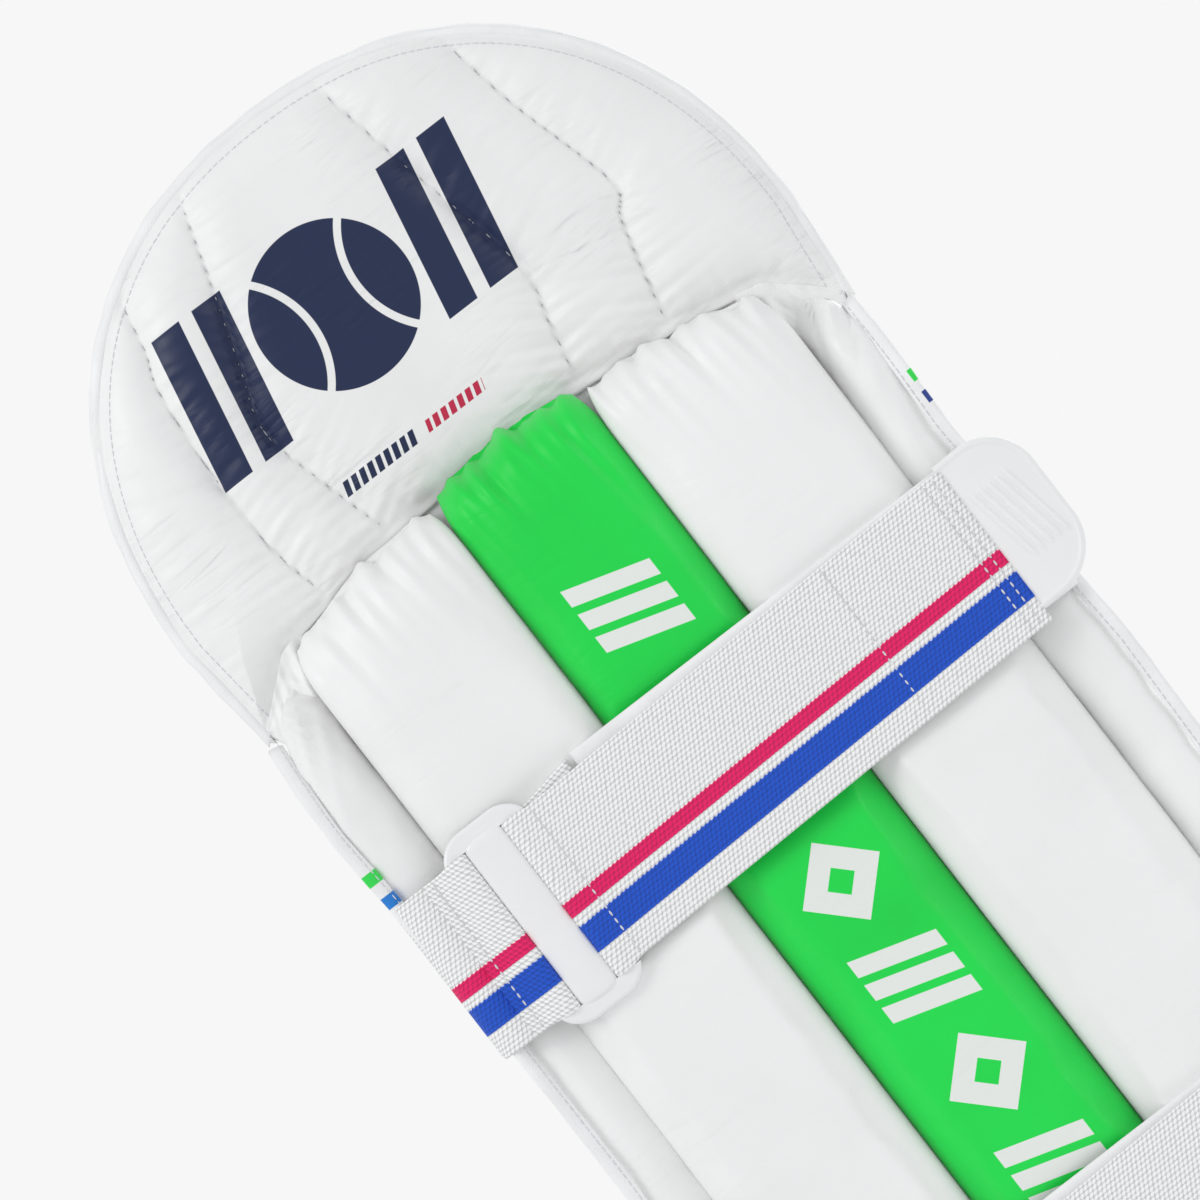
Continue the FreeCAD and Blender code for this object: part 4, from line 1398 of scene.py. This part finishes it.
# %% Side bindings
for binding_side, sign in (("left", 1), ("right", -1)):
    binding_low, binding_high = box_mm(binding_side + "_side_binding")
    heights = np.linspace(binding_low[2] + 1, binding_high[2] - 1, 120)
    middle_x = (binding_low[0] + binding_high[0]) / 2
    middle_y = (binding_low[1] + binding_high[1]) / 2
    binding_path = np.stack([np.full(120, middle_x), np.full(120, middle_y), heights], axis=1)
    binding_out = np.tile([float(sign), 0.0, 0.0], (120, 1))
    binding = sweep(binding_side + "_side_edge_tape", binding_path, 2.2, 4.2, binding_out)
    finish_piece(binding, edge_tape, "leg_guard", "binding_tape", binding_side + "_side_binding")
    print(binding_side, "side tape is", round(float(heights[-1] - heights[0])), "mm long")

# %% [markdown]
# ## Straps
# Each strap is knitted elastic webbing that is anchored on the left wing, loops over a bar of the
# ring, then runs across the cushions. Its free end has a hook patch and a moulded pull tab, and it
# fastens on a smooth loop-faced band that is sewn to the right wing and lies under it.

# %% Bars, loops and paths
BAR_Y = 33.35
ANCHOR_BAR_X = 102.1
STRAP_BAR_X = 78.5
TAIL_END_X = -114.6
LOOP_MID_R = 3.2             # from a bar's middle to the middle of the webbing round it
TAIL_Y = 33.15
FLOOR_Y = 30.15
WRAP_R = 8.15                # from the wing's middle plane to the middle of the webbing on it


def half_turn(x, y, radius, start, end, count=14):
    turn = np.radians(np.linspace(start, end, count))
    return np.stack([x + radius * np.cos(turn), y + radius * np.sin(turn)], axis=1)


def straight(a, b, step=2.0):
    a, b = np.asarray(a, dtype=float), np.asarray(b, dtype=float)
    count = max(2, int(np.linalg.norm(b - a) / step))
    return a + (b - a) * np.linspace(0, 1, count)[:, None]


def joined(*parts):
    line = np.vstack(parts)
    keep = np.concatenate([[True], np.linalg.norm(np.diff(line, axis=0), axis=1) > 0.05])
    return line[keep]

# %% [markdown]
# ## Where the webbing runs
# Webbing starts on the wing's outer face and turns over its edge. Away from the bar it lies nearly flat,
# with a slight slope and a loose wave, and it is squeezed wider where it folds round a bar.

# %% Wrap, wave and slope
WRAP_START = math.degrees(math.atan2(WING_OUT[1], WING_OUT[0]))


def round_wing():
    """The path of webbing from the wing's outer face, over its edge, to the flat run behind it."""
    return joined(straight(WING_ROOT + WING_ALONG * 8 + WING_OUT * WRAP_R, WING_TIP + WING_OUT * WRAP_R),
                  half_turn(WING_TIP[0], WING_TIP[1], WRAP_R, WRAP_START, 90))


def strap_wave(seed):
    def wave(x, z):
        loose = math.exp(-((x + 20) / 70) ** 2)
        return 0.35 * loose * ripple(np.full(len(z), x) + 0.2 * z, 60, seed)
    return wave


STRAP_SLOPE = -0.027         # the strap climbs a little towards the right wing


def strap_tilt(x):
    """How far the strap runs out of level at a place across the pad."""
    return STRAP_SLOPE * (x - STRAP_BAR_X)


def squeezed(path, bar_x):
    """How much wider webbing is near the bar that it is folded round."""
    return 2.0 * np.exp(-((path[:, 0] - bar_x) / 6.0) ** 4)

# %% [markdown]
# ## One strap with its parts
# Four ribbons make a strap: the anchor that holds the ring, the elastic tail that is looped round the
# ring's bar, the hook patch under the tail's end, and the band that it fastens on.

# %% Make a strap
def make_straps(name, seed):
    centre = STRAP_LEVELS[name]
    low, high = centre - WEB_WIDE / 2, centre + WEB_WIDE / 2
    anchor_path = joined(round_wing(), straight((WING_TIP[0], FLOOR_Y), (ANCHOR_BAR_X, FLOOR_Y)),
                         half_turn(ANCHOR_BAR_X, BAR_Y, LOOP_MID_R, 270, 90),
                         smooth_line([(ANCHOR_BAR_X, BAR_Y + LOOP_MID_R), (108, 34.6), (113, 32.2),
                                      (117.5, 31.95)], 12))
    anchor = ribbon(name + "_anchor_strap", anchor_path, low, high,
                    spread=squeezed(anchor_path, ANCHOR_BAR_X))
    finish_piece(anchor, webbing, "left_wing", "webbing", name + "_anchor_webbing")
    fold_end = 50.5
    tail_path = joined(straight((fold_end, FLOOR_Y), (STRAP_BAR_X - 4, FLOOR_Y)),
                       half_turn(STRAP_BAR_X, BAR_Y, LOOP_MID_R, -90, 90),
                       smooth_line([(STRAP_BAR_X, BAR_Y + LOOP_MID_R), (70, 35.0), (60, 33.9), (52, 33.35),
                                    (42, TAIL_Y)], 24),
                       straight((42, TAIL_Y), (TAIL_END_X, TAIL_Y)))
    order = np.arange(len(tail_path))
    before_loop = order < np.argmax(tail_path[:, 0])
    lift = np.where(before_loop, 5.0 * (STRAP_BAR_X - tail_path[:, 0]) / (STRAP_BAR_X - fold_end),
                    strap_tilt(tail_path[:, 0]))
    tail = ribbon(name + "_strap", tail_path, low, high, wave=strap_wave(seed), columns=34, lift=lift,
                  spread=squeezed(tail_path, STRAP_BAR_X))
    finish_piece(tail, webbing, name + "_tail", "webbing", name + "_strap_webbing")
    patch_low, patch_high = box_mm(name + "_hook_patch")
    patch_y = (patch_low[1] + patch_high[1]) / 2
    patch_path = straight((patch_high[0], patch_y), (patch_low[0], patch_y))
    patch = ribbon(name + "_hooks", patch_path, patch_low[2], patch_high[2], thick=1.0, columns=16,
                   lift=strap_tilt(patch_path[:, 0]))
    finish_piece(patch, hook_nylon, name + "_tail", "hook_tape", name + "_hook_patch")
    band_low, band_high = box_mm(name + "_band")
    mirror = np.array([-1, 1])
    band_path = joined(straight((band_high[0], FLOOR_Y), (-WING_TIP[0], FLOOR_Y)),
                       (round_wing() * mirror)[::-1])
    band = ribbon(name + "_loop_band", band_path, band_low[2], band_high[2], columns=20)
    band.data.materials.append(loop_cloth)
    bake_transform(band)
    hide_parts(name + "_band", name + "_band_root")

# %% [markdown]
# ## The ring's face
# The ring of the design stays, and a rounded plate is added over its middle bar, as it is moulded.

# %% The ring's rounded plate
def ring_plate(name):
    """The raised, rounded face of the ring's middle plate, which fills the space between the two loops."""
    centre = STRAP_LEVELS[name]
    high = box_mm(name + "_strap_ring")[1]
    heights = np.linspace(-35.6, 35.6, 110)
    swell = np.sqrt(np.clip(1 - (np.abs(heights) / 35.7) ** 40, 0, 1))
    path = np.stack([np.full(110, 90.2), np.full(110, high[1] - 1.2), centre + heights], axis=1)
    plate = sweep(name + "_ring_plate", path, 2.4 * swell + 0.02, 7.9 * swell + 0.05,
                  np.tile([0.0, 1.0, 0.0], (110, 1)), around=36, power=2.5)
    finish_piece(plate, acetal, name + "_ring", "ring_plastic")

# %% [markdown]
# ## The pull tab
# A thin moulded tab with a raised rim and five leaning grip ribs, rounded at its free end. Its height is
# worked out from how far each point lies from the rim.

# %% Make a pull tab
TAB_RISE = 3.5               # the tab is sewn on a little above the middle of the strap


def make_tab(name):
    """A flexible moulded tab with a raised rim and leaning grip ribs."""
    centre = STRAP_LEVELS[name]
    low, high = box_mm(name + "_pull_tab")
    x0, x1 = low[0], TAIL_END_X + 1.5
    half = (high[2] - low[2]) / 2 - 1.0
    corner = 20.0
    share = (1 - np.cos(np.linspace(0, math.pi, 150))) / 2
    x = x0 + 0.02 + share * (x1 - x0 - 0.04)
    past = np.clip((x0 + corner - x) / corner, 0, 1)
    tall = half - corner + corner * np.sqrt(1 - past ** 2)
    up = np.sin(np.linspace(-math.pi / 2, math.pi / 2, 130))[:, None]
    z = up * tall[None, :]
    x = np.broadcast_to(x, z.shape)
    corner_x, corner_z = x0 + corner, half - corner
    out_x = np.maximum(corner_x - x, 0)
    out_z = np.maximum(np.abs(z) - corner_z, 0)
    inset = corner - np.sqrt(out_x ** 2 + out_z ** 2)
    rim = np.exp(-((inset - 1.6) / 0.75) ** 2)
    ribs = np.zeros_like(x)
    for number in range(5):
        middle = x0 + 8.0 + 3.6 * number
        lean = middle + 0.18 * z
        ends = 1 / (1 + np.exp((np.abs(z) - 15.0) / 0.5))
        ribs = np.maximum(ribs, np.exp(-((x - lean) / 0.62) ** 4) * ends)
    thick = (high[1] - low[1]) - 0.5
    edge = np.sqrt(np.clip(1 - (1 - np.clip(inset / 1.0, 0, 1)) ** 2, 0, 1))
    middle_y = low[1] + thick / 2
    rear = middle_y + (thick / 2) * np.maximum(edge, 0.15) + 0.6 * rim + 0.8 * ribs
    front = middle_y - (thick / 2) * np.maximum(edge, 0.15)
    z = centre + TAB_RISE + z + strap_tilt(x)
    tab = two_faces(name + "_tab", np.stack([x, rear, z], axis=-1), np.stack([x, front, z], axis=-1))
    finish_piece(tab, tab_rubber, name + "_tail", "tab_rubber", name + "_pull_tab")

# %% [markdown]
# ## Both straps
# The two straps are the same, at two heights, with folds of their own.

# %% Make both straps
for strap_name, strap_seed in (("upper", 301), ("lower", 311)):
    make_straps(strap_name, strap_seed)
    ring_plate(strap_name)
    make_tab(strap_name)
print("straps made:", list(STRAP_LEVELS))

# %% [markdown]
# ## Stitches
# Every seam is lockstitched with thick thread, about eight stitches in an inch. The same stitch
# repeats along many lines, so one Geometry Nodes tree lays them: it turns a line into a curve, cuts
# the curve into even steps and puts a small rounded stitch on each step.

# %% Stitch tree
def stitch_tree():
    tree = bpy.data.node_groups.new("stitches", "GeometryNodeTree")
    face = tree.interface
    face.new_socket("Geometry", in_out="INPUT", socket_type="NodeSocketGeometry")
    for label, value in (("Spacing", 0.0031), ("Length", 0.0023), ("Thickness", 0.0006)):
        socket = face.new_socket(label, in_out="INPUT", socket_type="NodeSocketFloat")
        socket.default_value = value
    face.new_socket("Material", in_out="INPUT", socket_type="NodeSocketMaterial")
    face.new_socket("Geometry", in_out="OUTPUT", socket_type="NodeSocketGeometry")
    given = add(tree, "NodeGroupInput").outputs
    curve = add(tree, "GeometryNodeMeshToCurve", {"Mesh": given["Geometry"]})
    steps = add(tree, "GeometryNodeCurveToPoints",
                {"Curve": curve.outputs["Curve"], "Length": given["Spacing"]}, mode="LENGTH")
    turn = add(tree, "FunctionNodeAlignRotationToVector", {"Vector": steps.outputs["Tangent"]}, axis="X")
    bead = add(tree, "GeometryNodeMeshUVSphere", {"Segments": 8, "Rings": 6, "Radius": 0.5})
    size = add(tree, "ShaderNodeCombineXYZ", {"X": given["Length"], "Y": given["Thickness"],
                                              "Z": given["Thickness"]})
    laid = add(tree, "GeometryNodeInstanceOnPoints",
               {"Points": steps.outputs["Points"], "Instance": bead.outputs["Mesh"],
                "Rotation": turn.outputs["Rotation"], "Scale": size.outputs["Vector"]})
    real = add(tree, "GeometryNodeRealizeInstances", {"Geometry": laid.outputs["Instances"]})
    soft = add(tree, "GeometryNodeSetShadeSmooth", {0: real.outputs["Geometry"]})
    dressed = add(tree, "GeometryNodeSetMaterial",
                  {"Geometry": soft.outputs[0], "Material": given["Material"]})
    out = add(tree, "NodeGroupOutput")
    tree.links.new(dressed.outputs["Geometry"], out.inputs["Geometry"])
    return tree


STITCH_TREE = stitch_tree()

# %% [markdown]
# ## Using the stitch tree
# Lines of points become one mesh of edges, the tree lays stitches on it, and the result is made plain
# mesh. Each size goes to its input by the socket's identifier.

# %% Lay stitches along lines
def stitch(name, lines, body, spacing=3.1, length=2.3, thickness=0.6, thread=white_thread):
    """Lay stitches along some lines of points in millimetres."""
    points, edges = [], []
    for line in lines:
        first = len(points)
        points.extend([tuple(p) for p in np.asarray(line) * MM])
        edges.extend((first + i, first + i + 1) for i in range(len(line) - 1))
    mesh = bpy.data.meshes.new(name)
    mesh.from_pydata(points, edges, [])
    piece = bpy.data.objects.new(name, mesh)
    bpy.context.scene.collection.objects.link(piece)
    step = piece.modifiers.new("stitches", "NODES")
    step.node_group = STITCH_TREE
    values = {"Spacing": spacing * MM, "Length": length * MM, "Thickness": thickness * MM,
              "Material": thread}
    for item in STITCH_TREE.interface.items_tree:
        if item.in_out == "INPUT" and item.name in values:
            step[item.identifier] = values[item.name]
    with_modifiers(piece)
    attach(piece, body)
    print(name, "has", len(piece.data.polygons), "faces")
    return piece

# %% [markdown]
# ## Stitches on the top hat
# Stitch lines on the top hat follow its quilting seams and the inside of its bound edge, so their
# height is read from the same function that shaped the cloth.

# %% Stitch the top hat
def hat_line(points, face_sign, stand=0.25):
    """A line on the rear (1) or front (-1) face of the top hat, a little above the cloth."""
    points = smooth_line(points, 3 * len(points)) if len(points) < 60 else np.asarray(points)
    seams, rise, seed = HAT_SEAMS, REAR_RISE, REAR_SEED
    if face_sign < 0:
        seams, rise, seed = FRONT_SEAMS, FRONT_RISE, FRONT_SEED
    height = hat_height(points[:, 0], points[:, 1], seams, rise, seed)
    return np.stack([points[:, 0], HAT_MID_Y + face_sign * (height + stand), points[:, 1]], axis=1)


def inside_hat(line):
    """The part of a line that lies inside the hem."""
    rim = to_line(line, np.vstack([HAT_RIM, HAT_RIM[:1]]))[0]
    inside = (line[:, 1] > hat_low_edge(line[:, 0]) + 9) & (line[:, 1] < hat_top_edge(line[:, 0]))
    keep = inside & ((rim > 7.5) | (line[:, 1] < HAT_SHOULDER))
    return line[keep]


hem_line = np.roll(hat_edge_line(7.0), -first_free, axis=0)
hem_line = hem_line[(np.abs(hem_line[:, 0]) > HAT_NOTCH[0]) | (hem_line[:, 1] > HAT_SHOULDER)]
hat_lines = [hat_line(inside_hat(smooth_line(seam, 90)), 1) for seam in HAT_SEAMS]
hat_lines += [hat_line(inside_hat(smooth_line(seam, 90)), -1) for seam in FRONT_SEAMS]
# The quilting stitches use the grey thread, whose darkness is painted shade of the seam valleys.
stitch("top_hat_quilting_stitches", hat_lines, "top_hat", length=2.9, thickness=0.5, thread=seam_thread_with_painted_shade)
hem_lines = [hat_line(hem_line, face_sign, stand=0.1) for face_sign in (1, -1)]
stitch("top_hat_hem_stitches", hem_lines, "top_hat", spacing=2.9, length=2.4, thickness=0.5)

# %% [markdown]
# ## Stitches on the shin, straps and wings
# The valleys between ribs, the ends of the webbing and the wings' tapes are sewn with the same thread.

# %% Stitch the rest
shin_low, shin_high = box_mm("shin_face_cover")
valley_lines = []
for number in range(1, RIBS):
    theta = np.full(60, -HALF_ANGLE + 2 * HALF_ANGLE * number / RIBS)
    valley_lines.append(on_arc(theta, 290.7, np.linspace(shin_low[2] + 3, shin_high[2] - 3, 60)))
stitch("shin_stitches", valley_lines, "leg_guard")

for strap_name in STRAP_LEVELS:
    centre = STRAP_LEVELS[strap_name]
    up = np.linspace(centre - WEB_WIDE / 2 + 2.5, centre + WEB_WIDE / 2 - 2.5, 40)

    def across_strap(x, y, tilt=0.0):
        return np.stack([np.full(40, x), np.full(40, y), up + tilt], axis=1)

    tail_face = TAIL_Y + 1.0
    tail_lines = [across_strap(70.5, 36.0)]
    for inward in (4, 8, 54):
        tail_lines.append(across_strap(TAIL_END_X + inward, tail_face, strap_tilt(TAIL_END_X + inward)))
    stitch(strap_name + "_strap_stitches", tail_lines, strap_name + "_tail", thickness=0.75)
    stitch(strap_name + "_anchor_stitches", [across_strap(113.6, 33.1)], "left_wing", thickness=0.75)

for wing_side, line in wing_stitch_lines.items():
    stitch(wing_side + "_wing_stitches", [line], wing_side + "_wing", spacing=3.0, length=2.5, thickness=0.45)

# %% [markdown]
# ## Inside parts
# The rods, boards, foams and lining of the design stay as they are, and get their own finishes.

# %% Finish the parts that stay
KEPT_FINISH = {
    "shin_cane_rods": (split_cane, "cane"), "shin_core_board": (fibre_board, "board"),
    "shin_core_foam": (foam_block, "foam"), "body_lining": (lining_cloth, "lining_cloth"),
    "upper_strap_ring": (acetal, "ring_plastic"), "lower_strap_ring": (acetal, "ring_plastic"),
}
for node_name, (finish, slot_name) in KEPT_FINISH.items():
    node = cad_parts[node_name]
    node.data.materials.clear()
    node.data.materials.append(finish)
print("kept parts dressed:", len(KEPT_FINISH))
